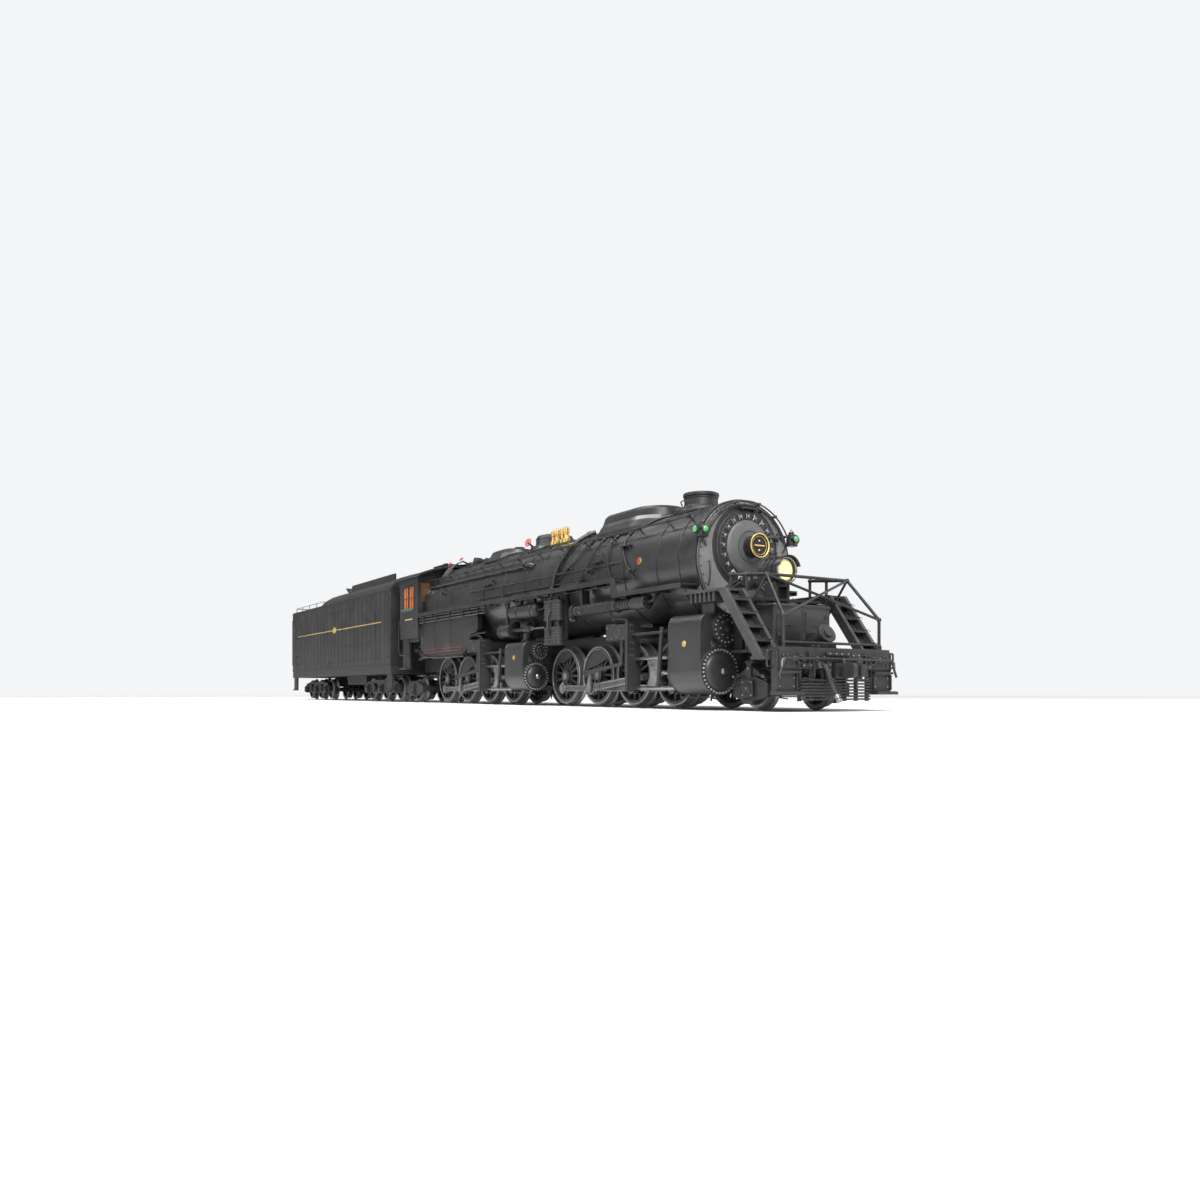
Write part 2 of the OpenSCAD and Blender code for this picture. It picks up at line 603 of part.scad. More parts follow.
// ---------- frames ----------
module axle_bores(first_x) {
  for (i = [0:3]) ycyl(2.1, -12, 12, first_x - i * driver_pitch, axle_z);
}
module rear_engine_frame() {
  color([0.12, 0.12, 0.12]) difference() {
    union() {
      midbox(-14, 120.4, frame_w, 11, 33.95);
      midbox(63, 120.4, frame_w, 33.9, 37.4);
      // upper and lower jaws of the articulation
      midbox(120.3, 145, frame_w, 18.6, 37.4);
      midbox(120.3, 145, frame_w, 9, 11.8);
      midbox(110, 120.4, frame_w, 9, 12);
      // boiler saddle
      difference() {
        midbox(116, 145, frame_w, 37.3, 44);
        xcyl(firebox_r + 0.2, 100, 150, 0, boiler_z, 96);
      }
      // tail beam and cab deck
      midbox(-63, -14, 9, 22.6, 31.8);
      midbox(-50, -19.2, 31, 43.6, 45.9);
      midbox(-48, -22, 9, 31.7, 43.7);
      // cab steps
      pairbox(-50, -38, 30, 31.6, 24, 45.9);
      pairbox(-50, -38, 30, 34.4, 24, 25.2);
      pairbox(-50, -38, 30, 34.4, 34, 35);
      headed_pin(bar_loco_x, 14.5, 22.7, 3.2, 13.4, 14.6);
      headed_pin(trail_pivot, 7.4, 22.7, 2.6, 6.6, 7.5);
    }
    axle_bores(rear_x);
    // gear pocket
    midbox(31, 45.4, 6, 10, 40);
    // slot for the articulation tongue
    midbox(119, 147, 9.2, 11.79, 18.61);
    // display board screw holes
    for (x = [88, -8]) zcyl(1.25, 6, 24, x, 0, 32);
  }
  color([0.3, 0.3, 0.3]) zcyl(2.4, 11.7, 18.7, pivot_x, 0, 40);
}
module front_engine_frame() {
  color([0.12, 0.12, 0.12]) difference() {
    union() {
      midbox(151, 309, frame_w, 12, 37.2);
      midbox(150, 212, frame_w, 11, 34);
      midbox(308.9, 344.9, 8.6, 20, 24.2);
      // articulation tongue
      midbox(127, 152, 8.4, 12.1, 18.3);
      zcyl(8.4, 12.1, 18.3, 129.4, 0);
      zcyl(3, 14, 20.1, pony_pivot, 0, 32);
    }
    axle_bores(front_x);
    midbox(290, 309.5, 11, 11, 17.6);
    zcyl(2.5, 10, 20, pivot_x, 0, 40);
    // room for the boiler saddle
    midbox(200, 240, 11, 37.15, 38);
  }
  color([0.3, 0.3, 0.3]) headed_pin(pony_pivot, 9.6, 17.7, 2.6, 8.8, 9.7);
}

// ---------- front end ----------
module front_coupler() {
  midbox(346, 352, 3.4, 13.2, 19.4);
  midbox(351.9, 356, 1.8, 14, 18.6);
  midbox(355.9, 358, 3.6, 13.4, 19.2);
  yext(-3.6, -1.6) polygon([[357.9, 13.4], [360.6, 13.4], [361.5, 14.6], [361.5, 18],
    [360.6, 19.2], [357.9, 19.2]]);
  zcyl(1.4, 12.8, 19.8, 358.6, 2.2, 24);
  box(357.9, 361.5, 2.4, 3.6, 13.8, 18.8);
  box(360.3, 361.5, 0.6, 3.6, 13.8, 18.8);
}
// flanged casting on the deck
module deck_casting() {
  translate([341, 0, deck_z - 0.1]) {
    midbox(-4, 4, 4, 0, 2.4);
    translate([0, 0, 5]) rotate([0, 62, 0])
      zcyls(0, 0, [[3.1, -7, 3, 40], [4.2, 2, 3.5, 40], [2.2, 3.4, 4.5, 40]]);
    midbox(-6.5, -1.5, 2.5, 1, 7);
  }
}
module pilot() {
  color([0.16, 0.16, 0.16]) {
    // deck and beam
    midbox(312, 349, 24, 24.3, deck_z);
    midbox(342, 349, 31, 24.3, deck_z);
    difference() {
      midbox(345, 349, 31, 17, 24.4);
      midbox(344, 346, 8.7, 16, 24.35);
      midbox(344, 350, 5, 15, 19.6);
    }
    // slats and their uprights
    for (i = [0:6]) midbox(348, 349, 19.6, 4.6 + i * 1.25, 5.3 + i * 1.25);
    for (y = [5.4, 12, 18.4]) pairbox(346.8, 348.1, y, y + 1.2, 4.2, 17.1);
    // foot plates at both sides, with steps
    pairbox(346, 348.4, 20.6, 32.4, 8, 24.4);
    pairbox(346, 352, 20.4, 33, 6.8, 8);
    pairbox(348.3, 350.3, 21, 32, 15.2, 16);
    front_coupler();
    // cut lever
    rod([351, -30, 21], [351, 30, 21], 0.5);
    both() {
      rod([351, 30, 21], [351, 33, 14], 0.5);
      box(348.9, 351.4, 20, 21, 20.2, 21.8);
    }
    deck_casting();
  }
}
module pilot_railings() {
  bar_r = 0.65;
  brace_r = 0.55;
  post = [347, 27, 38];           // top of the front post
  corner = [333, 23, 55.5];
  rear = [311, 23, 57.5];
  middle = [321, 23, 56.5];
  flip = [1, -1, 1];              // multiplies a left point into its right twin
  function right_of(point) = [for (i = [0:2]) point[i] * flip[i]];
  color([0.2, 0.2, 0.2]) {
    both() {
      rod([post[0], post[1], post_z], post, bar_r);
      rod(post, corner, bar_r);
      rod(corner, rear, bar_r);
      rod(rear, [rear[0], rear[1], 47.65], bar_r);
      rod(middle, [middle[0], middle[1], post_z], bar_r);
      for (point = [post, corner, rear, middle]) translate(point) sphere(r = 1, $fn = 24);
      rod([middle[0], middle[1], 40], corner, brace_r);
    }
    rod(right_of(corner), corner, bar_r);
    // crossed stays and the low bar
    rod(right_of(post), corner, brace_r);
    rod(post, right_of(corner), brace_r);
    rod([post[0], -post[1], 27.4], [post[0], post[1], 27.4], brace_r);
  }
}
module front_stairs() {
  color([0.17, 0.17, 0.17]) both() {
    // walkway over the cylinders
    box(294.5, 320, 24.2, 35, 49.6, 50.6);
    for (i = [0:5]) box(298 + i * 3, 299 + i * 3, 25, 34.6, 45.6, 49.7);
    box(298, 306, 27, 28, 41.05, 46);
    // stringers and treads
    for (y = [24.2, 33.4]) yext(y, y + 1.6)
      polygon([[316.5, 50.5], [321.5, 50.5], [343.5, 21.5], [338.5, 21.5]]);
    for (i = [0:3]) translate([323 + i * 4.4, 0, 45.2 - i * 5.8])
      box(-2.4, 2.4, 25.6, 33.6, 0, 0.8);
    box(337, 344.9, 24.2, 35, 20.6, 21.8);
    box(337, 344.9, 8.7, 24.4, 20.6, 21.8);
    // riser plate behind the treads
    yext(25.6, 33.6) polygon([[317, 49.6], [317.6, 49.6], [339, 21.6], [338.2, 21.6]]);
  }
}
module headlight() {
  lamp_z = 60;
  color([0.13, 0.13, 0.13]) {
    difference() {
      xrev(0, lamp_z, 64) polygon([[0, 309], [3, 309.2], [5.2, 311], [5.6, 312],
        [5.6, 319], [6, 319.2], [6, 320.6], [0, 320.6]]);
      xcyl(4.9, 315, 321, 0, lamp_z, 48);
    }
    xcyl(4.85, 316, 318, 0, lamp_z, 48);
    // bracket, shelf and the shelf's legs
    midbox(311, 318, 4, 53, 55);
    pairbox(311, 318, 2.6, 4, 47.5, 54);
    midbox(310, 320, 23.8, 46.4, 47.6);
    pairbox(312, 317, 14, 16, post_z, 46.5);
    pairbox(312.2, 317, 20.8, 22.3, post_z, 46.5);
    pairbox(312.2, 317.5, 2.6, 4, post_z, 46.5);
  }
}

// ---------- trucks ----------
// sockets for the axle ends at an axle's centre
module journal_holes(x, y1) both() ycyl(journal_r + 0.1, 20, y1, x, 0, 32);

module pony_truck_frame() {
  wheel_z = flange + truck_wheel_r;
  color([0.15, 0.15, 0.15]) difference() {
    union() {
      translate([pony_x, 0, wheel_z]) {
        both() yext(21, 23.4) polygon([[-10, -3], [-5, -4.6], [5, -4.6], [11, -3],
          [11, 2.4], [4, 5], [-4, 5], [-10, 2.4]]);
        pairbox(-3.4, 3.4, 23.3, 24.6, -3.4, 3.6);
        midbox(9.6, 11.2, 22, -2.8, 2);
        pairbox(-11, -9.3, 5, 22, -2.8, 1.4);
      }
      // tongue back to the pivot
      midbox(pony_x - 26, pony_x - 9.3, 6, 10, 11.6);
      zcyl(5.6, 10, 11.6, pony_pivot, 0);
    }
    zcyl(hole_r, 8, 16, pony_pivot, 0, 32);
    translate([pony_x, 0, wheel_z]) journal_holes(0, 23.3);
  }
}
module trailing_truck_frame() {
  pivot = trail_pivot - trail_x;
  wheel_z = flange + truck_wheel_r;
  color([0.15, 0.15, 0.15]) translate([trail_x, 0, wheel_z]) difference() {
    union() {
      both() yext(21, 23.6) polygon([[-13, -2], [-5, -4.4], [5, -4.4], [18, -1], [18, 3],
        [6, 6.6], [-6, 6.6], [-13, 3]]);
      pairbox(-3.6, 3.6, 23.5, 25, -3.6, 4.4);
      midbox(16.4, 18.1, 22, -0.8, 2.6);
      // tongue forward to the pivot
      midbox(18, pivot + 1, 5, -0.4, 1.2);
      zcyl(5, -0.4, 1.2, pivot, 0);
      pairbox(-13, -11.4, 12, 22, -1.6, 2.6);
    }
    zcyl(hole_r, 4 - wheel_z, 16 - wheel_z, pivot, 0, 32);
    journal_holes(0, 23.5);
  }
}
module tender_truck(x) {
  axles = [-truck_pitch, 0, truck_pitch];
  color([0.16, 0.16, 0.16]) translate([x, 0, flange + tender_wheel_r]) difference() {
    union() {
      both() {
        yext(21.2, 23.6) difference() {
          polygon([[-39, -2], [-35, -3.4], [-28, -3], [-4, -3.6], [4, -3.6], [28, -3],
            [35, -3.4], [39, -2], [39, 3], [34, 5.6], [20, 7.2], [-20, 7.2], [-34, 5.6],
            [-39, 3]]);
          for (s = [-1, 1]) polygon([[s * 8, -1], [s * 24, -1], [s * 20, 4.6], [s * 11, 4.6]]);
        }
        // axle boxes
        for (axle = axles) {
          box(axle - 3.4, axle + 3.4, 23.5, 25.4, -3, 3.4);
          ycyl(2.4, 25.3, 26, axle, 0, 32);
        }
        // springs
        for (s = [-16, 16], k = [0:3]) ycyl(1.5, 22.4, 25, s, -0.8 + k * 1.2, 24);
      }
      // cross ties and bolster
      midbox(13.4, 18.6, 21.4, 3, 7);
      midbox(-18.6, -13.4, 21.4, 3, 7);
      midbox(-14, 14, 7, 5.6, 9.9);
    }
    zcyl(hole_r, 0, 14, 0, 0, 32);
    for (axle = axles) journal_holes(axle, 23.4);
  }
}
module drawbar() {
  ends = [bar_loco_x, bar_tender_x];
  color([0.3, 0.3, 0.3]) difference() {
    union() {
      midbox(bar_tender_x, bar_loco_x, 2.6, 18, 20);
      for (x = ends) zcyl(4.2, 18, 20, x, 0, 40);
    }
    for (x = ends) zcyl(hole_r, 17, 21, x, 0, 32);
  }
}

// ---------- tender ----------
floor_z = 21.5;    // where pins and steps meet the tender frame
module tender_frame() {
  color([0.13, 0.13, 0.13]) {
    difference() {
      midbox(tank_rear, tank_front, tank_w, 21.4, 26.9);
      midbox(tank_rear + 3, tank_front - 20, tank_w - 2, 23.4, 28);
    }
    for (x = [truck_front_x, truck_rear_x]) {
      headed_pin(x, 13.5, floor_z, 2.8, 12.6, 13.6);
      zcyl(6, 20.3, floor_z, x, 0);
    }
    headed_pin(bar_tender_x, 16, floor_z, 3.2, 16.2, 17.4);
    headed_pin(coupler_x, 13, floor_z, 3, 12.4, 13.2);
    // centre box between the trucks, and corner steps
    midbox(-236, -184, 14, 14, floor_z);
    for (x = [-80, -348]) {
      pairbox(x, x + 10, 31.4, 33, 9, floor_z);
      pairbox(x, x + 10, 31.4, 34.4, 9, 10);
    }
  }
}
// the tank's raised part: rounded shoulders, sloping down at the rear
module tank_shoulders(top) {
  intersection() {
    xext(-250, tank_front) polygon(mirrored([
      [-tank_w + 0.02, tank_top - 2], [-tank_w + 0.02, tank_top],
      [-tank_w + 2, tank_top + 3.4], [-tank_w + 5.6, tank_top + 6.6], [-tank_w + 9, top]]));
    yext(-40, 40) polygon([[-250, tank_top - 3], [-250, tank_top], [-246, tank_top + 2.6],
      [-240, tank_top + 5], [-232, tank_top + 7], [-222, top], [tank_front, top],
      [tank_front, tank_top - 3]]);
  }
}
module tender_body() {
  shoulder_top = tank_top + 8;
  wall = 1.6;
  ladder_x = tank_rear - 1.6;
  color([0.17, 0.17, 0.17]) {
    difference() {
      union() {
        midbox(tank_rear, tank_front, tank_w, 27, tank_top);
        tank_shoulders(shoulder_top);
        // coal boards
        both() yext(24.4, 25.8) polygon([[-192, shoulder_top - 1], [-186, 99], [-66, 99],
          [-68, shoulder_top - 1]]);
        midbox(-168, -166.6, 25.6, shoulder_top - 1, 97);
        // round and square hatches on the rear deck
        zcyl(7, tank_top - 0.1, tank_top + 1.6, -290, 0);
        zcyl(7.6, tank_top + 1.5, tank_top + 2.6, -290, 0);
        midbox(-330, -316, 8, tank_top - 0.1, tank_top + 2.4);
      }
      // hollow inside, taller at the rear
      midbox(tank_rear + wall, -84, tank_w - wall, 26, 58);
      midbox(tank_rear + wall, -238, tank_w - wall, 57, tank_top - wall);
      // coal space
      yext(-23.6, 23.6) polygon([[-84, 62], [-150, 62], [-214, 100], [-84, 100]]);
      // footplate recess at the front
      midbox(-83, -60, 28, 40, 100);
    }
    // ladder on the rear wall
    both() rod([ladder_x, 12, 24], [ladder_x, 12, tank_top + 1], 0.45, 16);
    for (i = [0:8]) let (z = 30 + i * 6.6)
      rod([ladder_x, -12, z], [ladder_x, 12, z], 0.4, 16);
    for (z = [40, 80]) pairbox(tank_rear - 2, tank_rear + 0.4, 11.6, 12.4, z, z + 1);
  }
}
module sound_board() {
  color([0.1, 0.35, 0.15]) midbox(-330, -200, 18, 31, 32.6);
  color([0.15, 0.15, 0.15]) {
    pairbox(-300, -280, 4, 14, 32.5, 38);
    midbox(-250, -236, 10, 32.5, 40);
    // board legs
    for (x = [-326, -206]) pairbox(x, x + 2, 12, 14, 23.5, 31.1);
    // speaker
    translate([-140, 0, 23.5]) {
      zcyls(0, 0, [[19, 0, 2, 64], [9, 9.8, 16.8, 64]]);
      translate([0, 0, 1.9]) cylinder(r1 = 16, r2 = 8, h = 8);
    }
  }
}
module rear_coupler() {
  color([0.22, 0.22, 0.22]) at_x(coupler_x) difference() {
    union() {
      zcyl(3.6, 14, 16.6, 0, 0, 40);
      midbox(-14, 0, 2, 14, 16.6);
      midbox(-17.4, -13.9, 3.8, 12.6, 19.4);
      yext(1.8, 3.8) polygon([[-17.3, 12.6], [-21.4, 12.6], [-22.5, 14], [-22.5, 18],
        [-21.4, 19.4], [-17.3, 19.4]]);
      box(-22.5, -17.3, -3.8, -2.5, 13, 19);
      box(-22.5, -21.2, -3.8, -0.6, 13, 19);
      zcyl(1.5, 12.2, 20, -18.6, -2.2, 24);
    }
    zcyl(hole_r, 12, 20, 0, 0, 32);
  }
}

// ---------- inside the boiler ----------
motor_z = 52;
module drive_motor() {
  color([0.55, 0.55, 0.57])
    xcyls(0, motor_z, [[11.4, 2, 24, 48], [1.1, 23.9, 37, 24], [4, -1, 2.1, 32]]);
  // flywheel
  color([0.6, 0.5, 0.25]) xcyl(9.4, 26, 31, 0, motor_z, 48);
  // gear tower and motor mount
  color([0.2, 0.2, 0.2]) {
    difference() {
      midbox(33, 43.4, 5.4, 24, 58);
      midbox(34.4, 42, 4, 23, 34);
    }
    midbox(4, 22, 8, 36.02, 41.4);
  }
}
module smoke_unit() {
  color([0.5, 0.5, 0.5]) {
    midbox(252, 272, 9, 66, 78);
    zcyl(4.2, 77.9, 94.6, stack_x, 0, 40);
    xcyl(6, 235, 252.1, 0, 72, 32);
    // foot shaped to the boiler's inside
    intersection() {
      midbox(250, 274, 10, 40, 66.1);
      xcyl(25.15, 240, 280, 0, boiler_z);
    }
  }
}

boiler_shell();
smokebox_front();
number_plate();
smokestack();
boiler_domes();
safety_valves();
class_lamps();
running_boards();
handrails();
air_equipment();
cab();
rear_engine_frame();
at_x(rear_x) cylinder_blocks(rear_cyl_r, rear_valve_z, 4.8, 36.4);  // rear_cylinders
at_x(rear_x) motion_brackets(rear_valve_z);  // rear_motion_brackets
drive_motor();
smoke_unit();
front_engine_frame();
at_x(front_x) cylinder_blocks(front_cyl_r, front_valve_z, 6.2, 41);  // front_cylinders
at_x(front_x) motion_brackets(front_valve_z);  // front_motion_brackets
pilot();
pilot_railings();
front_stairs();
headlight();
tender_body();
tender_frame();
sound_board();
driver(front_x);  // driver_front_1
driver(front_x - driver_pitch);  // driver_front_2
driver(front_x - 2 * driver_pitch, main = true);  // driver_front_3
driver(front_x - 3 * driver_pitch);  // driver_front_4
driver(rear_x);  // driver_rear_1
driver(rear_x - driver_pitch);  // driver_rear_2
driver(rear_x - 2 * driver_pitch, main = true, gear = true);  // driver_rear_3
driver(rear_x - 3 * driver_pitch);  // driver_rear_4
at_axle(front_x) right_side() side_rod(crank_right);  // side_rod_front_right
at_axle(front_x) side_rod(crank_left);  // side_rod_front_left
at_axle(rear_x) right_side() side_rod(crank_right);  // side_rod_rear_right
at_axle(rear_x) side_rod(crank_left);  // side_rod_rear_left
at_axle(front_x) right_side() main_rod(crank_right);  // main_rod_front_right
at_axle(front_x) main_rod(crank_left);  // main_rod_front_left
at_axle(rear_x) right_side() main_rod(crank_right);  // main_rod_rear_right
at_axle(rear_x) main_rod(crank_left);  // main_rod_rear_left
at_axle(front_x) right_side() crosshead(crank_right);  // crosshead_front_right
at_axle(front_x) crosshead(crank_left);  // crosshead_front_left
at_axle(rear_x) right_side() crosshead(crank_right);  // crosshead_rear_right
at_axle(rear_x) crosshead(crank_left);  // crosshead_rear_left
pony_truck_frame();
small_wheelset(pony_x, truck_wheel_r);  // pony_wheelset
trailing_truck_frame();
small_wheelset(trail_x, truck_wheel_r);  // trailing_wheelset
drawbar();
tender_truck(truck_front_x);  // tender_truck_front
tender_truck(truck_rear_x);  // tender_truck_rear
small_wheelset(truck_front_x + truck_pitch, tender_wheel_r);  // tender_wheelset_1
small_wheelset(truck_front_x, tender_wheel_r);  // tender_wheelset_2
small_wheelset(truck_front_x - truck_pitch, tender_wheel_r);  // tender_wheelset_3
small_wheelset(truck_rear_x + truck_pitch, tender_wheel_r);  // tender_wheelset_4
small_wheelset(truck_rear_x, tender_wheel_r);  // tender_wheelset_5
small_wheelset(truck_rear_x - truck_pitch, tender_wheel_r);  // tender_wheelset_6
rear_coupler();
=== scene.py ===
# A model articulated steam locomotive with its tender, standing on white paper.
# The CAD pieces get materials, and small fittings are added as new meshes that ride on them.
# Shapes are in millimetres: +x is forward, +y the left side, +z up, and the floor is z = 0.
# Shaders, floor, lights and camera are in metres.
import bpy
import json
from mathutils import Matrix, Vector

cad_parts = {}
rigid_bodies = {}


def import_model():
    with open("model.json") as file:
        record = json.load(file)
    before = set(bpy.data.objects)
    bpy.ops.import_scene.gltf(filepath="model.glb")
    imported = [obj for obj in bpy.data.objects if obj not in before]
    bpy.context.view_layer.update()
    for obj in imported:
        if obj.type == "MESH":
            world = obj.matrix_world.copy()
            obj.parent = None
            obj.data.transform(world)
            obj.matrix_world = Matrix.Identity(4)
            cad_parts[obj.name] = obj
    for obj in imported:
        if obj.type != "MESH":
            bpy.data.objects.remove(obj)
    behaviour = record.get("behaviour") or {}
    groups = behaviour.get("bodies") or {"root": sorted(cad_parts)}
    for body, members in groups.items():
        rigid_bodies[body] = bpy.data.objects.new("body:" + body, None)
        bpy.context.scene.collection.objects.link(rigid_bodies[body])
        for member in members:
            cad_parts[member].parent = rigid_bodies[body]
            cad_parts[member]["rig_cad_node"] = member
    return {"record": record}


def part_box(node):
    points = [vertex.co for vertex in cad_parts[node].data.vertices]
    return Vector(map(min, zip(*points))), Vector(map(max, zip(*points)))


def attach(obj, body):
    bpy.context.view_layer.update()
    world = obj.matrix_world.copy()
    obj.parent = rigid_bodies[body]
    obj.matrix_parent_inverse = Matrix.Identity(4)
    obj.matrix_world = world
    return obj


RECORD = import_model()["record"]
import bpy
import json
import math
import random
from mathutils import Matrix, Vector

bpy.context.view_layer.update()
MM = 0.001
SIDES = (-1, 1)  # right, left
FORWARD = (1, 0, 0)
BACK = (-1, 0, 0)
ACROSS = (0, 1, 0)
UP = (0, 0, 1)
LOCO = "locomotive"
FRONT = "front_engine"
TENDER = "tender"
JOINTS = RECORD["behaviour"]["joints"]


# ================================================================== places read from the model
def node_box(node):
    low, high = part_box(node)
    return Vector(low) / MM, Vector(high) / MM


def joint(name):
    return next(Vector(j["pos_m"]) / MM for j in JOINTS if j["name"] == name)


FRONT_AXLE = joint("front_axle_1_spin")
REAR_AXLE = joint("rear_axle_1_spin")
ENGINES = {"front": FRONT_AXLE, "rear": REAR_AXLE}
PITCH = FRONT_AXLE.x - joint("front_axle_2_spin").x
AXLE_Z = FRONT_AXLE.z
SMOKEBOX_LOW, SMOKEBOX_HIGH = node_box("smokebox_front")
BOILER_Z = (SMOKEBOX_LOW.z + SMOKEBOX_HIGH.z) / 2
FACE_X = SMOKEBOX_LOW.x + 5.6  # front face of the smokebox
PLATE_LOW, PLATE_HIGH = node_box("number_plate")
DOOR_Z = (PLATE_LOW.z + PLATE_HIGH.z) / 2
BOARD_Z = node_box("running_boards")[1].z
TANK_LOW, TANK_HIGH = node_box("tender_body")


# ================================================================== shader tools
class Shader:
    """A material with a Principled surface, and short ways to add nodes to it."""

    def __init__(self, name):
        self.material = bpy.data.materials.new(name)
        self.material.use_nodes = True
        self.tree = self.material.node_tree
        self.tree.nodes.clear()
        self.output = self.node("OutputMaterial")
        self.surface = self.node("BsdfPrincipled")
        self.feed(self.surface.outputs[0], self.output.inputs[0])
        self.position = self.node("TexCoord").outputs["Object"]

    def node(self, kind, **settings):
        node = self.tree.nodes.new("ShaderNode" + kind)
        for key, value in settings.items():
            setattr(node, key, value)
        return node

    def feed(self, value, socket):
        """Link a socket, or set a constant."""
        if isinstance(value, bpy.types.NodeSocket):
            self.tree.links.new(value, socket)
        else:
            socket.default_value = value

    def calc(self, operation, first, second=None, clamp=False):
        node = self.node("Math", operation=operation, use_clamp=clamp)
        self.feed(first, node.inputs[0])
        if second is not None:
            self.feed(second, node.inputs[1])
        return node.outputs[0]

    def ramp(self, value, *stops):
        """Two stops, each (position, grey)."""
        node = self.node("ValToRGB")
        for element, (position, grey) in zip(node.color_ramp.elements, stops):
            element.position = position
            element.color = (grey, grey, grey, 1)
        self.feed(value, node.inputs[0])
        return node.outputs[0]

    def mix(self, factor, first, second):
        node = self.node("Mix", data_type="RGBA", blend_type="MIX")
        for index, value in ((0, factor), (6, first), (7, second)):
            self.feed(value, node.inputs[index])
        return node.outputs[2]

    def noise(self, scale, detail, stretch=None):
        place = self.position
        if stretch:
            mapping = self.node("Mapping")
            mapping.inputs["Scale"].default_value = stretch
            self.feed(place, mapping.inputs[0])
            place = mapping.outputs[0]
        node = self.node("TexNoise")
        node.inputs["Scale"].default_value = scale
        node.inputs["Detail"].default_value = detail
        node.inputs["Roughness"].default_value = 0.55
        self.feed(place, node.inputs["Vector"])
        return node.outputs[0]

    def radius(self, first, second):
        """Distance from the axis of two offsets."""
        squares = [self.calc("MULTIPLY", v, v) for v in (first, second)]
        return self.calc("SQRT", self.calc("ADD", *squares))


MATERIALS = {}
DUST_COLOR = (0.075, 0.070, 0.063, 1)
DUST_HEIGHT = 0.045
BRUSHED = (0.08, 1, 1)  # grain drawn out along x


def door_shades(shader, color, y, z, mottle, door):
    """A dark flange and a dimmer dish round the door; door is (height, dish, flange radius)."""
    calc = shader.calc
    height, dish_radius, flange_radius = door
    radius = shader.radius(y, calc("SUBTRACT", z, height))
    ragged = calc("MULTIPLY", calc("SUBTRACT", mottle, 0.5), 0.0006)
    radius = calc("ADD", radius, ragged)
    inside = calc("LESS_THAN", radius, flange_radius)
    dish = calc("LESS_THAN", radius, dish_radius)
    flange = calc("SUBTRACT", inside, dish)
    color = shader.mix(calc("MULTIPLY", flange, 0.93), color, (0.014, 0.014, 0.015, 1))
    return shader.mix(calc("MULTIPLY", dish, 0.5), color, (0.030, 0.030, 0.031, 1))


def tread_mask(shader, x, y, z, mottle, wheel):
    """Bright tread and axle ends; wheel is (axle x, axle z, tread radius)."""
    calc = shader.calc
    axle_x, axle_z, tread_radius = wheel
    pin_y = 0.0200  # beyond this the metal is an axle end
    radius = shader.radius(calc("SUBTRACT", x, axle_x), calc("SUBTRACT", z, axle_z))
    off_centre = calc("ABSOLUTE", y)
    rim = calc("GREATER_THAN", radius, tread_radius - 0.0011)
    tread = calc("MULTIPLY", rim, calc("LESS_THAN", off_centre, pin_y))
    axle = calc("MULTIPLY", calc("GREATER_THAN", off_centre, pin_y), 0.75)
    uneven = shader.ramp(mottle, (0.3, 0.75), (0.7, 1.0))
    return calc("MULTIPLY", calc("ADD", tread, axle, True), uneven)


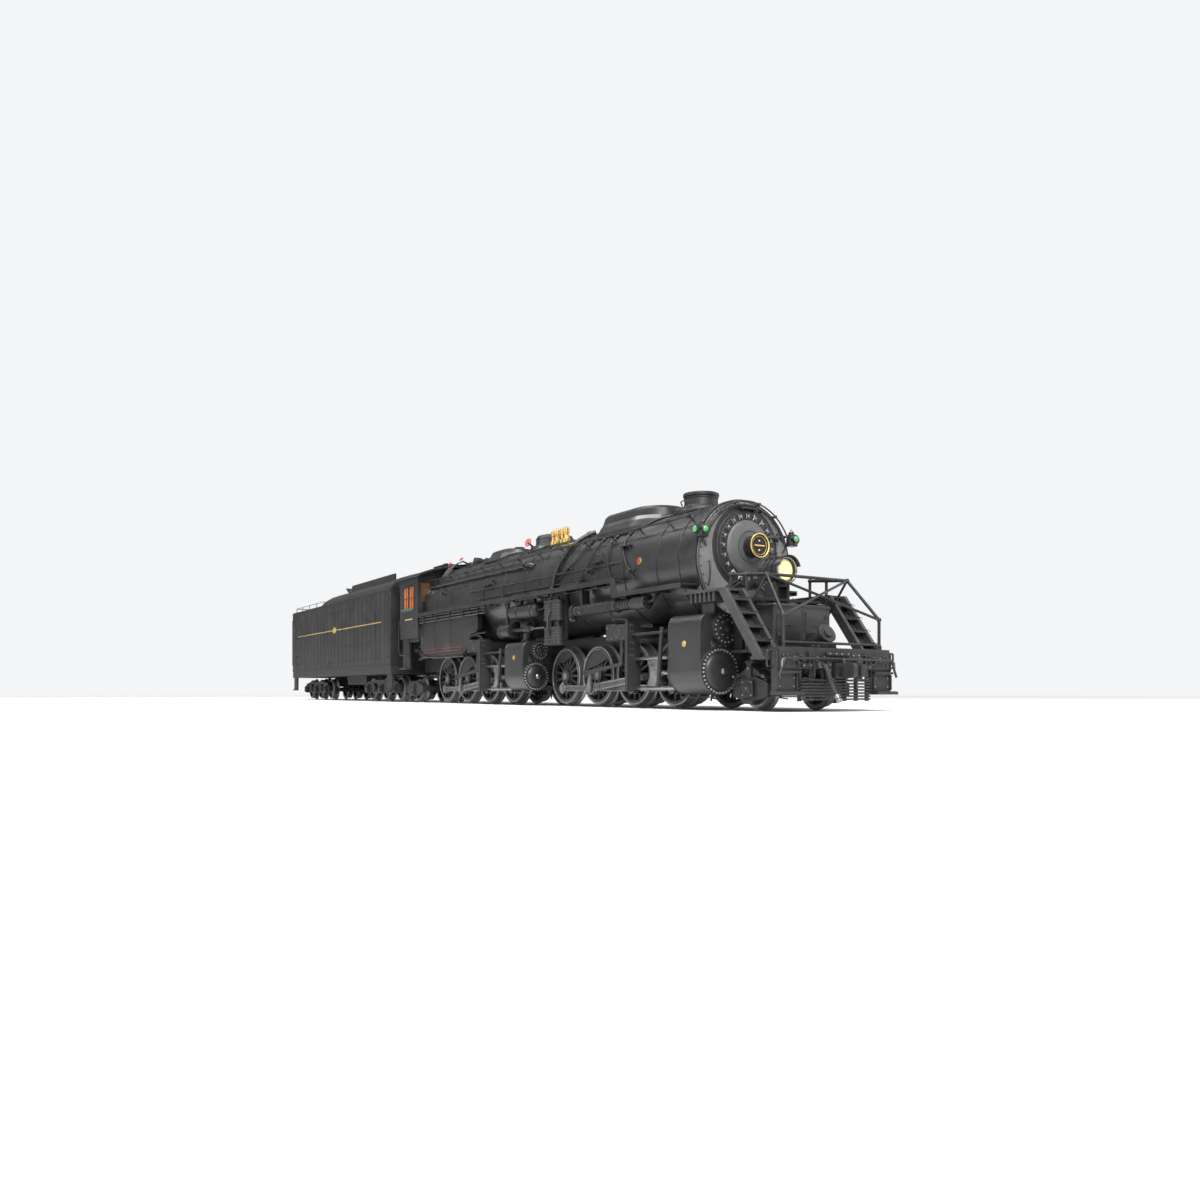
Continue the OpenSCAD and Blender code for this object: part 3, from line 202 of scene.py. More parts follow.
def paint(name, base, rough=0.42, metal=0.0, grain=0.06, wear=0.5, wear_color=(0.2, 0.2, 0.205),
          dust=0.25, coat=0.0, edge=0.00022, stretch=None, spec=0.5, wheel=None, door=None):
    """Painted or bare metal: mottled, finely grained, worn at the edges and dusty low down."""
    shader = Shader(name)
    calc, ramp, mix, feed = shader.calc, shader.ramp, shader.mix, shader.feed
    surface = shader.surface.inputs
    broad = shader.noise(scale=55, detail=4)
    mottle = shader.noise(scale=420, detail=3)
    fine = shader.noise(scale=2600, detail=2, stretch=stretch)
    light = [min(1, c * 1.55 + 0.004) for c in base] + [1]
    dark = [c * 0.72 for c in base] + [1]
    color = mix(ramp(broad, (0.32, 0.0), (0.7, 1.0)), dark, light)
    color = mix(ramp(mottle, (0.45, 0.0), (0.62, 0.35)), color, (*base, 1))

    axes = shader.node("SeparateXYZ")
    feed(shader.position, axes.inputs[0])
    x, y, z = axes.outputs
    low = ramp(calc("MULTIPLY", z, 1 / DUST_HEIGHT, True), (0.0, 1.0), (1.0, 0.0))
    patches = ramp(mottle, (0.35, 0.2), (0.7, 1.0))
    dirt = calc("MULTIPLY", calc("MULTIPLY", low, patches), dust)
    color = mix(dirt, color, DUST_COLOR)
    if door:
        color = door_shades(shader, color, y, z, mottle, door)

    # edges show where the rounded normal leaves the true one
    bevel = shader.node("Bevel", samples=4)
    bevel.inputs["Radius"].default_value = edge
    geometry = shader.node("NewGeometry")
    agreement = shader.node("VectorMath", operation="DOT_PRODUCT")
    feed(bevel.outputs[0], agreement.inputs[0])
    feed(geometry.outputs["Normal"], agreement.inputs[1])
    worn = ramp(agreement.outputs["Value"], (0.80, 1.0), (0.97, 0.0))
    worn = calc("MULTIPLY", worn, ramp(mottle, (0.3, 0.25), (0.6, 1.0)))
    color = mix(calc("MULTIPLY", worn, wear), color, (*wear_color, 1))

    span = shader.node("MapRange")
    span.inputs["To Min"].default_value = max(0.04, rough - 0.1)
    span.inputs["To Max"].default_value = min(1, rough + 0.1)
    feed(broad, span.inputs[0])
    roughness = calc("ADD", span.outputs[0], calc("MULTIPLY", dirt, 0.6), True)
    if wheel:
        bright = tread_mask(shader, x, y, z, mottle, wheel)
        color = mix(bright, color, (0.30, 0.30, 0.305, 1))
        feed(calc("MULTIPLY", bright, 0.9), surface["Metallic"])
        roughness = calc("SUBTRACT", roughness, calc("MULTIPLY", bright, 0.12), True)
    else:
        surface["Metallic"].default_value = metal
    feed(roughness, surface["Roughness"])
    feed(color, surface["Base Color"])
    bump = shader.node("Bump")
    bump.inputs["Strength"].default_value = grain * 4
    bump.inputs["Distance"].default_value = 0.00006
    feed(fine, bump.inputs["Height"])
    feed(bevel.outputs[0], bump.inputs["Normal"])
    feed(bump.outputs[0], surface["Normal"])
    surface["Coat Weight"].default_value = coat
    surface["Specular IOR Level"].default_value = spec
    MATERIALS[name] = shader.material
    return shader.material


def glow(name, color, strength):
    """A glossy glass or face that gives off its own colour: real light for the lamps and the fire,
    painted glow for the cab window panes and gauge faces, which are no lamps.
    """
    shader = Shader(name)
    surface = shader.surface.inputs
    factor = shader.ramp(shader.noise(scale=900, detail=2), (0.3, 0.0), (0.7, 1.0))
    shade = shader.mix(factor, [c * 0.8 for c in color] + [1], (*color, 1))
    shader.feed(shade, surface["Base Color"])
    shader.feed(shade, surface["Emission Color"])
    surface["Emission Strength"].default_value = strength
    surface["Roughness"].default_value = 0.15
    surface["Coat Weight"].default_value = 0.6
    MATERIALS[name] = shader.material


# ================================================================== materials
# black paints
paint("boiler_black", base=(0.0170, 0.0172, 0.0180), rough=0.34, grain=0.10, wear=0.22,
      wear_color=(0.10, 0.10, 0.105), dust=0.10, coat=0.18)
paint("satin_black", base=(0.0150, 0.0152, 0.0160), rough=0.38, grain=0.08, wear=0.35,
      wear_color=(0.12, 0.12, 0.125), dust=0.16, coat=0.14)
paint("weathered_black", base=(0.0130, 0.0130, 0.0138), rough=0.48, grain=0.12, wear=0.45,
      wear_color=(0.13, 0.13, 0.13), dust=0.22)
paint("black_plastic", base=(0.0150, 0.0153, 0.0160), grain=0.07, wear=0.25,
      wear_color=(0.10, 0.10, 0.105), dust=0.12, coat=0.08)
# greys and bare metals
paint("graphite", base=(0.140, 0.141, 0.143), rough=0.56, metal=0.25, grain=0.22, wear=0.35,
      wear_color=(0.36, 0.36, 0.37), dust=0.05)
paint("graphite_dark", base=(0.026, 0.026, 0.027), metal=0.3, grain=0.12, wear=0.75,
      wear_color=(0.30, 0.30, 0.305), dust=0.05)
paint("rod_steel", base=(0.135, 0.135, 0.138), rough=0.34, metal=0.85, grain=0.08, wear=0.6,
      wear_color=(0.55, 0.55, 0.56), dust=0.35, stretch=BRUSHED)
paint("bright_steel", base=(0.33, 0.33, 0.335), rough=0.30, metal=1.0, grain=0.05, wear=0.2,
      wear_color=(0.8, 0.8, 0.8), dust=0.1, stretch=BRUSHED)
paint("wire_rail", base=(0.026, 0.026, 0.027), rough=0.34, metal=0.4, grain=0.04, wear=0.3,
      dust=0.1, edge=0.0001)
paint("brass", base=(0.56, 0.38, 0.14), rough=0.30, metal=1.0, grain=0.04, wear=0.15,
      wear_color=(0.9, 0.72, 0.4), dust=0.0, edge=0.00012)
# lines, plates and small fittings
paint("gold_line", base=(0.62, 0.44, 0.14), rough=0.36, metal=0.55, grain=0.03, wear=0.0,
      dust=0.0, edge=0.00005)
paint("red_paint", base=(0.36, 0.016, 0.012), grain=0.04, wear=0.08,
      wear_color=(0.6, 0.12, 0.10), dust=0.0, edge=0.0001)
paint("plate_black", base=(0.012, 0.012, 0.013), rough=0.22, grain=0.03, wear=0.2, dust=0.0,
      coat=0.5)
# Near-black: painted shadow, standing in for the shade in the groove along each tender seam.
paint("seam_black", base=(0.0055, 0.0055, 0.006), rough=0.5, grain=0.05, wear=0.0, dust=0.05)
# Lighter than the other black paints: painted light, standing in for the light that falls on the
# front stairs.
paint("stair_painted_light", base=(0.034, 0.034, 0.0345), grain=0.09, wear=0.7,
      wear_color=(0.20, 0.20, 0.20), dust=0.1)
paint("lamp_black", base=(0.013, 0.013, 0.014), rough=0.35, grain=0.05, dust=0.0)
paint("motor_steel", base=(0.50, 0.50, 0.52), rough=0.3, metal=1.0, dust=0.0)
paint("smoke_metal", base=(0.6, 0.6, 0.62), rough=0.35, metal=1.0, dust=0.0)
paint("circuit", base=(0.02, 0.16, 0.05), rough=0.4, grain=0.02, dust=0.0)
paint("dark_red", base=(0.15, 0.022, 0.016), rough=0.5, wear=0.1, dust=0.1, edge=0.0001)
paint("rubber_hose", base=(0.018, 0.018, 0.019), rough=0.62, grain=0.3, wear=0.0, dust=0.3)
paint("coal", base=(0.012, 0.012, 0.014), rough=0.30, grain=0.5, wear=0.15, dust=0.0, spec=0.8)
paint("cushion_green", base=(0.03, 0.06, 0.045), rough=0.6, grain=0.4, wear=0.0, dust=0.0)
# The cab window panes give off amber and dim light of their own: painted glow, as the panes are no
# lamp.
glow("amber_window_glow", color=(0.62, 0.15, 0.030), strength=0.30)
glow("dim_window_glow", color=(0.10, 0.045, 0.018), strength=0.07)
paint("bolt_metal", base=(0.26, 0.26, 0.262), rough=0.34, metal=0.7, grain=0.05, wear=0.8,
      wear_color=(0.62, 0.62, 0.62), dust=0.05, edge=0.00015)
glow("green_lens", color=(0.06, 0.34, 0.10), strength=0.26)
glow("lamp_lens", color=(0.80, 0.74, 0.36), strength=0.66)
glow("lamp_halo", color=(1.0, 0.90, 0.55), strength=1.0)
# The gauge faces give off a faint light of their own: painted glow, as they are no lamp.
glow("gauge_face_glow", color=(0.75, 0.73, 0.65), strength=0.12)
glow("fire", color=(1.0, 0.25, 0.03), strength=1.6)

# CAD nodes that turn on an axle, with the axle's place in metres
AXLES = {node: j["pos_m"] for j in JOINTS if j["name"].endswith("_spin")
         for node in RECORD["behaviour"]["bodies"][j["child"]]}
TREAD_INSET = 0.0012


def wheel_material(node):
    low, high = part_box(node)
    x, _, z = AXLES[node]
    return paint("wheel_" + node, base=(0.0135, 0.0135, 0.0142), grain=0.1,
                 wear_color=(0.17, 0.17, 0.172), dust=0.2,
                 wheel=(x, z, (high[2] - low[2]) / 2 - TREAD_INSET))


def smokebox_face_material():
    low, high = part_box("number_plate")
    return paint("smokebox_face", base=(0.150, 0.151, 0.153), rough=0.56, metal=0.25, grain=0.22,
                 wear=0.3, wear_color=(0.34, 0.34, 0.345), dust=0.04,
                 door=((low[2] + high[2]) / 2, 0.0124, 0.0188))


for subpart in RECORD["subparts"]:
    node, slot = subpart["node"], subpart["material_slot"]
    material = MATERIALS["weathered_black" if slot == "wheel_metal" else slot]
    if node in AXLES:
        material = wheel_material(node)
    if node.startswith("crosshead"):
        material = MATERIALS["bright_steel"]
    # The front stairs get the lighter paint: painted light standing in for the light that falls on
    # them.
    if node == "front_stairs":
        material = MATERIALS["stair_painted_light"]
    if node == "smokebox_front":
        material = smokebox_face_material()
    slots = bpy.data.objects[node].data.materials
    if not slots:
        slots.append(material)
    for i in range(len(slots)):
        slots[i] = material


# ================================================================== mesh tools
def smooth_path(points, rounds):
    """Cut the corners of a path, keeping its ends."""
    points = [Vector(p) for p in points]
    for _ in range(rounds):
        cut = [points[0]]
        for start, end in zip(points, points[1:]):
            cut += [start.lerp(end, 0.25), start.lerp(end, 0.75)]
        points = cut + [points[-1]]
    return points


def turns(count):
    return [2 * math.pi * i / count for i in range(count)]


def square_axes(axis):
    axis = Vector(axis).normalized()
    first = axis.orthogonal().normalized()
    return axis, first, axis.cross(first)


class Mesh:
    """Closed shapes gathered into one mesh."""

    def __init__(self):
        self.points, self.faces = [], []

    def shape(self, points, faces):
        start = len(self.points)
        self.points += [tuple(p) for p in points]
        self.faces += [tuple(i + start for i in face) for face in faces]

    def skin(self, rings, closed=False):
        """Join equal rings, capping the two ends unless the rings close on themselves."""
        n, m = len(rings[0]), len(rings)
        faces = []
        for i in range(m if closed else m - 1):
            a, b = i * n, ((i + 1) % m) * n
            faces += [(a + k, a + (k + 1) % n, b + (k + 1) % n, b + k) for k in range(n)]
        if not closed:
            faces.append(tuple(reversed(range(n))))
            faces.append(tuple((m - 1) * n + k for k in range(n)))
        self.shape([p for ring in rings for p in ring], faces)

    def tube(self, points, radius, sides=8, closed=False):
        """A tube through the points; radius is one number or one per point."""
        points = [Vector(p) for p in points]
        last = len(points) - 1
        radii = radius if isinstance(radius, list) else [radius] * len(points)
        up = None
        rings = []
        for i, point in enumerate(points):
            if closed:
                along = (points[(i + 1) % len(points)] - points[i - 1]).normalized()
            elif i == 0:
                along = (points[1] - point).normalized()
            elif i == last:
                along = (point - points[-2]).normalized()
            else:
                ahead = (points[i + 1] - point).normalized()
                along = (ahead + (point - points[i - 1]).normalized()).normalized()
            if up is None:
                up = along.orthogonal().normalized()
            up = (up - along * up.dot(along)).normalized()
            wide = along.cross(up)
            rings.append([point + (up * math.cos(a) + wide * math.sin(a)) * radii[i]
                          for a in turns(sides)])
        self.skin(rings, closed)

    def pipe(self, points, radius, sides=8, rounds=2):
        self.tube(smooth_path(points, rounds), radius, sides)

    def lathe(self, base, axis, profile, sides=32):
        """Turn a profile of (radius, distance along the axis)."""
        base = Vector(base)
        axis, first, second = square_axes(axis)
        self.skin([[base + axis * h + (first * math.cos(a) + second * math.sin(a)) * max(r, 0.01)
                    for a in turns(sides)] for r, h in profile])

    def cyl(self, start, end, radius, sides=20, chamfer=0.12):
        start, end = Vector(start), Vector(end)
        h = (end - start).length
        c = min(chamfer, radius * 0.4, h * 0.4)
        profile = [(radius - c, 0), (radius, c), (radius, h - c), (radius - c, h)]
        self.lathe(start, end - start, profile, sides)

    def rivet(self, place, axis, r=0.3, sides=8):
        profile = [(r, -0.05), (r, 0), (r * 0.9, r * 0.3), (r * 0.55, r * 0.62), (r * 0.1, r * 0.72)]
        self.lathe(place, axis, profile, sides)

    def rivet_line(self, start, end, count, axis, radius):
        start, end = Vector(start), Vector(end)
        for i in range(count):
            self.rivet(start.lerp(end, i / (count - 1)), axis, radius)

    def bolt(self, place, axis, r, h, stud=True):
        profile = [(r, -0.05), (r, h * 0.8), (r * 0.85, h)]
        if stud:
            profile += [(r * 0.5, h), (r * 0.5, h * 1.45), (r * 0.3, h * 1.6)]
        self.lathe(place, axis, profile, 6)

    def bolts_round(self, center, axis, circle, count, radius, height):
        axis, first, second = square_axes(axis)
        for a in turns(count):
            place = Vector(center) + (first * math.cos(a) + second * math.sin(a)) * circle
            self.bolt(place, axis, radius, height)

    def box(self, low, high, chamfer):
        """A chamfered box; its two y values may come in either order."""
        x0, z0, x1, z1 = low[0], low[2], high[0], high[2]
        y0, y1 = sorted((low[1], high[1]))
        c = min(chamfer, (x1 - x0) * 0.3, (y1 - y0) * 0.3, (z1 - z0) * 0.3)

        def layer(z, i):
            return [(x0 + c + i, y0 + i, z), (x1 - c - i, y0 + i, z),
                    (x1 - i, y0 + c + i, z), (x1 - i, y1 - c - i, z),
                    (x1 - c - i, y1 - i, z), (x0 + c + i, y1 - i, z),
                    (x0 + i, y1 - c - i, z), (x0 + i, y0 + c + i, z)]
        self.skin([layer(z0, c * 0.6), layer(z0 + c, 0), layer(z1 - c, 0), layer(z1, c * 0.6)])

    def prism(self, outline, y0, y1):
        """Extrude an (x, z) outline between two y values, in either order."""
        self.skin([[(x, y, z) for x, z in outline] for y in sorted((y0, y1))])

    def torus(self, center, axis, ring_radius, radius, count, sides=8):
        center, axis = Vector(center), Vector(axis).normalized()
        first = Vector(UP) if abs(axis.z) < 0.9 else Vector(FORWARD)
        first = (first - axis * first.dot(axis)).normalized()
        second = axis.cross(first)
        self.tube([center + (first * math.cos(a) + second * math.sin(a)) * ring_radius
                   for a in turns(count)], radius, sides, closed=True)

    def handwheel(self, center, axis, ring_radius, radius, spokes=5):
        center = Vector(center)
        axis, first, second = square_axes(axis)
        self.torus(center, axis, ring_radius, radius, 32)
        for a in turns(spokes):
            rim = center + (first * math.cos(a) + second * math.sin(a)) * ring_radius
            self.tube([center, rim], radius * 0.8, 6)
        self.lathe(center - axis * 0.5, axis, [(0.7, 0), (0.7, 0.9), (0.4, 1.2)], 12)

    def leaf_spring(self, x, y, z, half, shorter, step, droop, radius, sides):
        """Five bowed leaves, each shorter and one step above the last."""
        for k in range(5):
            w = half - k * shorter
            self.tube([(x - w + 2 * w * t / 8, y, z + k * step - droop * ((t - 4) / 4) ** 2)
                       for t in range(9)], radius, sides)

    def coil(self, x, y, z0, z1, ring_radius, radius, count, sides):
        """A coil spring of count turns, with sides points to a turn."""
        steps = int(count * sides)
        points = []
        for i in range(steps + 1):
            a = 2 * math.pi * i / sides
            points.append((x + ring_radius * math.cos(a), y + ring_radius * math.sin(a),
                           z0 + (z1 - z0) * i / steps))
        self.tube(points, radius, 6)

    def mirror(self):
        """Add a copy on the other side."""
        start = len(self.points)
        self.points += [(x, -y, z) for x, y, z in self.points]
        self.faces += [tuple(i + start for i in reversed(face)) for face in self.faces]

    def finish(self, name, body, material, sharp):
        mesh = bpy.data.meshes.new(name)
        mesh.from_pydata([[c * MM for c in p] for p in self.points], [], self.faces)
        mesh.validate()
        mesh.update()
        mesh.materials.append(MATERIALS[material])
        for polygon in mesh.polygons:
            polygon.use_smooth = True
        item = bpy.data.objects.new(name, mesh)
        bpy.context.scene.collection.objects.link(item)
        mesh.set_sharp_from_angle(angle=math.radians(sharp))
        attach(item, body)


def part(body, material, prefix="", mirror=False, each_side=False, sharp=35):
    """Build at once what the decorated function draws, as an object with the function's name."""
    def build(draw):
        mesh = Mesh()
        if each_side:
            for side in SIDES:
                draw(mesh, side)
        else:
            draw(mesh)
        if mirror:
            mesh.mirror()
        mesh.finish(prefix + draw.__name__, body, material, sharp)
        return draw
    return build


def pair(body, material, prefix=""):
    """A part whose function draws one side and is called for both."""
    return part(body, material, prefix, each_side=True)


def polar(radius, degrees):
    a = math.radians(degrees)
    return radius * math.cos(a), radius * math.sin(a)


def clock(x, z, radius, degrees):
    """A point round (0, z) in the plane at x, its angle measured from the top towards +y."""
    a = math.radians(degrees)
    return x, radius * math.sin(a), z + radius * math.cos(a)


def arc(x, z, radius, angles, facing=1):
    """(x, z) points on an arc, for prisms."""
    return [(x + facing * radius * math.cos(math.radians(a)), z + radius * math.sin(math.radians(a)))
            for a in angles]


# the boiler tapers between two cylinders
SLIM_X, SLIM_RADIUS = 235, 27.0
WIDE_X, WIDE_RADIUS = 82, 28.8


def boiler_radius(x):
    t = min(max((x - WIDE_X) / (SLIM_X - WIDE_X), 0), 1)
    return WIDE_RADIUS + (SLIM_RADIUS - WIDE_RADIUS) * t


def on_boiler(x, degrees, offset, side):
    """A point off the boiler surface, its angle measured up from the horizontal."""
    y, z = polar(boiler_radius(x) + offset, degrees)
    return Vector((x, side * y, BOILER_Z + z))


def boiler_normal(degrees, side):
    y, z = polar(1, degrees)
    return Vector((0, side * y, z))


# ================================================================== smokebox
@part(LOCO, "boiler_black")
def smokebox_rivets(add):
    for x in (264.6, 277.4, 280.6, 286.6):
        for degrees in range(0, 360, 5):
            at_top = 84 <= degrees <= 96 and x < 275
            if at_top or 250 < degrees < 290:
                continue
            add.rivet(on_boiler(x, degrees, 0.02, -1), boiler_normal(degrees, -1), 0.3, 7)


@part(LOCO, "graphite_dark")
def smokebox_ring_bolts(add):
    add.bolts_round((FACE_X - 0.02, 0, BOILER_Z), FORWARD, 25.4, 40, 0.42, 0.42)
    add.torus((FACE_X + 0.02, 0, BOILER_Z), FORWARD, 26.45, 0.28, 96)


@part(LOCO, "graphite_dark")
def smokebox_door_ring(add):
    add.lathe((FACE_X - 0.05, 0, DOOR_Z), FORWARD,
              [(16.5, 0), (17.2, 0.1), (17.4, 0.7), (17.0, 1.2), (16.1, 1.35)], 72)


@part(LOCO, "weathered_black")
def smokebox_door_seat(add):
    add.lathe((FACE_X - 0.05, 0, DOOR_Z), FORWARD,
              [(19.0, 0), (19.0, 0.22), (18.6, 0.36), (15.0, 0.36)], 80)


@part(LOCO, "graphite")
def smokebox_face_rivets(add):
    for degrees in range(0, 360, 6):
        x, y, z = clock(FACE_X, BOILER_Z, 23.4, degrees)
        if z > 47 and y * y + (z - DOOR_Z) ** 2 > 19.8 ** 2:
            add.rivet((x, y, z), FORWARD, 0.24, 7)


RIM_RAIL_RADIUS = 26.2


@part(LOCO, "weathered_black")
def smokebox_front_steps(add):
    # rail stanchions round the rim, then the step and its brackets
    for degrees in (-62, -38, -14, 14, 38, 62):
        add.lathe(clock(FACE_X + 0.2, BOILER_Z, RIM_RAIL_RADIUS, degrees), FORWARD,
                  [(0.8, -0.2), (0.8, 0.5), (0.45, 0.8), (0.4, 1.9), (0.75, 2.2), (0.75, 2.7),
                   (0.3, 2.95)], 12)
    z = BOILER_Z
    add.box((FACE_X - 0.1, -4.6, z + 22.6), (FACE_X + 3.4, 4.6, z + 23.3), 0.15)
    for y in (-3.6, 3.6):
        add.prism([(FACE_X - 0.1, z + 20.0), (FACE_X + 3.0, z + 22.7), (FACE_X - 0.1, z + 22.7)],
                  y - 0.3, y + 0.3)


@part(LOCO, "wire_rail")
def smokebox_front_rail(add):
    add.tube([clock(FACE_X + 2.6, BOILER_Z, RIM_RAIL_RADIUS, a) for a in range(-72, 73, 4)], 0.36)


@part(LOCO, "bolt_metal")
def smokebox_door_dogs(add):
    for degrees in range(0, 360, 18):
        outward = Vector(clock(0, 0, 1, degrees))
        along = Vector((0, outward.z, -outward.y))
        center = Vector((FACE_X + 1.95, 0, DOOR_Z)) + outward * 14.1
        add.bolt(center + Vector((0.1, 0, 0)), FORWARD, 0.62, 0.5)
        for t in (-0.75, 0.75):
            add.tube([center + along * t - outward * 1.2, center + along * t + outward * 1.3],
                     0.22, 6)


@part(LOCO, "graphite_dark")
def smokebox_door_dish_seam(add):
    add.torus((FACE_X + 2.0, 0, DOOR_Z), FORWARD, 12.1, 0.28, 64)
    add.torus((FACE_X + 4.15, 0, DOOR_Z), FORWARD, 7.2, 0.2, 48)
    # hinges on the +y edge
    x, y = FACE_X + 1.6, 18.4
    for z in (-6, 6):
        add.tube([(FACE_X + 1.8, y, DOOR_Z + z), (FACE_X + 2.4, 14, DOOR_Z + z),
                  (FACE_X + 4.0, 9.5, DOOR_Z + z * 0.85)], [0.9, 0.8, 0.6])
        add.cyl((x, y, DOOR_Z + z - 1.8), (x, y, DOOR_Z + z + 1.8), 0.8, 12)


@part(LOCO, "gold_line")
def number_plate_rim(add):
    x = PLATE_HIGH.x
    add.torus((x + 0.02, 0, DOOR_Z), FORWARD, 5.2, 0.3, 48)
    add.torus((x - 0.28, 0, DOOR_Z), FORWARD, 4.1, 0.1, 48, 6)
    # a plain bar and two dots in place of a number
    add.box((x - 0.55, -2.9, DOOR_Z - 0.28), (x - 0.1, 2.9, DOOR_Z + 0.28), 0.08)
    for dz in (-2.1, 2.1):
        add.rivet((x - 0.5, 0, DOOR_Z + dz), FORWARD, 0.5, 12)


@part(LOCO, "wire_rail")
def smokebox_grabs(add):
    x, z = FACE_X, BOILER_Z
    for y in (-21.5, 21.5):
        add.pipe([(x, y, z - 12), (x + 1.5, y, z - 12), (x + 1.5, y * 0.97, z - 2),
                  (x, y * 0.97, z - 2)], 0.32)
    # braces low on the face
    for y0, y1 in ((-19, -7.5), (-15, -4), (19, 7.5), (15, 4)):
        add.tube([(x + 0.4, y0, z - 16.5), (x + 2.1, y1, z - 10.2)], 0.42)
    add.tube([(x + 1.6, -20, z - 17), (x + 1.6, 20, z - 17)], 0.55)


CLASS_LAMP_X, CLASS_LAMP_Y, CLASS_LAMP_Z = 295.4, 26.6, 78.4


@pair(LOCO, "green_lens")
def class_lamp_lenses(add, side):
    lens = [(1.45, 0), (1.45, 0.15), (1.1, 0.6), (0.5, 0.85), (0.05, 0.92)]
    add.lathe((298.5, side * CLASS_LAMP_Y, CLASS_LAMP_Z), FORWARD, lens, 20)
    add.lathe((CLASS_LAMP_X, side * 29.9, CLASS_LAMP_Z), (0, side, 0), lens, 20)


@pair(LOCO, "lamp_black")
def class_lamp_bezels(add, side):
    add.torus((298.6, side * CLASS_LAMP_Y, CLASS_LAMP_Z), FORWARD, 1.6, 0.22, 24)
    add.torus((CLASS_LAMP_X, side * 30.0, CLASS_LAMP_Z), ACROSS, 1.6, 0.22, 24)
    add.tube([(293.7, side * 25.2, 75.4), (294.2, side * 23.5, 73.5),
              (FACE_X + 0.1, side * 22.6, 72)], 0.45)
    add.torus((CLASS_LAMP_X, side * CLASS_LAMP_Y, 82.2), ACROSS, 0.7, 0.18, 16, 6)


# ================================================================== stack, domes, valves
STACK_X = 262
STACK_TOP = node_box("smokestack")[1].z


@part(LOCO, "weathered_black")
def stack_fittings(add):
    add.torus((STACK_X, 0, STACK_TOP - 0.1), UP, 8.1, 0.45, 48)
    add.torus((STACK_X, 0, STACK_TOP - 2.2), UP, 8.05, 0.25, 48)
    add.bolts_round((STACK_X, 0, 95.5), UP, 9.1, 14, 0.4, 0.4)
    x0, x1 = STACK_X - 3, STACK_X + 3
    for side in SIDES:
        add.pipe([(x0, side * 8.8, 96.2), (x0, side * 10.4, 98.2), (x1, side * 10.4, 98.2),
                  (x1, side * 8.8, 96.2)], 0.3)


@part(LOCO, "satin_black")
def dome_fittings(add):
    for x in (198, 224):
        add.bolts_round((x, 0, 101.8), UP, 2.9, 8, 0.3, 0.3)
        add.pipe([(x - 1.4, 0, 101.8), (x - 1.4, 0, 103.1), (x + 1.4, 0, 103.1),
                  (x + 1.4, 0, 101.8)], 0.28, rounds=1)
        add.tube([(x - 4.2, 0, 101.6), (x - 3.2, 0, 101.9)], 0.5)
    add.bolts_round((121, 0, 101.7), UP, 8.4, 16, 0.35, 0.35)
    add.torus((121, 0, 99.5), UP, 11.45, 0.22, 56)
    for x in (58, 75):
        add.bolts_round((x, 0, 100.7), UP, 2.5, 8, 0.28, 0.3)
    # base flanges laid on the boiler: rear centre, front centre, end radius
    for x0, x1, radius in ((204, 228, 19.2), (121, 121, 15.5), (61, 72, 16.6)):
        points = []
        for a in turns(64):
            x = (x1 if math.cos(a) >= 0 else x0) + radius * math.cos(a)
            y = radius * math.sin(a)
            shell = boiler_radius(x) + 0.55
            points.append((x, y, BOILER_Z + math.sqrt(max(shell * shell - y * y, 1))))
        add.tube(points, 0.5, closed=True)


@part(LOCO, "brass")
def safety_valve_tops(add):
    for x, y in ((135.6, -9), (140.6, -9.6), (146, -9), (151, -9.6)):
        add.lathe((x, y, 101.2), UP,
                  [(1.7, 0), (1.75, 0.3), (1.2, 0.55), (0.55, 0.6), (0.5, 1.1), (0.7, 1.3),
                   (0.1, 1.5)], 18)
        for z in (96.8, 98.4, 99.6):
            add.torus((x, y, z), UP, 1.45, 0.2, 20, 6)
        add.tube([(x, y - 1.2, 97.6), (x, y - 2.6, 98.2)], 0.22, 6)


# ================================================================== pipes on the boiler
@pair(LOCO, "lamp_black")
def boiler_pipe_band(add, side):
    def along(t):
        return on_boiler(168 + 15 * t, -14 + 84 * t, 1.5, side)
    add.tube([along(i / 26) for i in range(27)], 1.2, 12)
    for t in (0.06, 0.45, 0.9):
        start = along(t)
        add.cyl(start, start + (along(t + 0.02) - start).normalized() * 2.2, 1.65, 12)


@pair(LOCO, "wire_rail")
def sand_pipes(add, side):
    for x0, x1 in ((196, 158), (208, 192), (220, 226), (232, 246)):
        add.tube([on_boiler(x0 + (x1 - x0) * t * t, 44 - 56 * t, 0.85, side)
                  for t in [i / 18 for i in range(19)]], 0.42)
        add.cyl(on_boiler(x0, 47, 0.3, side), on_boiler(x0, 41, 0.9, side), 0.9, 10)


@pair(LOCO, "wire_rail")
def boiler_conduits(add, side):
    half = Vector((0.5, 0, 0))
    # angle, rear x, front x, radius
    for degrees, x0, x1, radius in ((27, -14, 132, 0.75), (53, 2, 183, 0.4), (8, 60, 236, 0.35),
                                    (-3, 75, 200, 0.5)):
        xs = [x0 + (x1 - x0) * i / 40 for i in range(41)]
        points = [on_boiler(x, degrees, 1.25, side) for x in xs]
        add.tube(points, radius)
        for i in range(2, 39, 6):
            foot = on_boiler(xs[i], degrees, 0.2, side)
            add.cyl(foot, foot + boiler_normal(degrees, side) * 1.8, radius * 0.9 + 0.15, 8)
            add.cyl(points[i] - half, points[i] + half, radius + 0.22, 8)


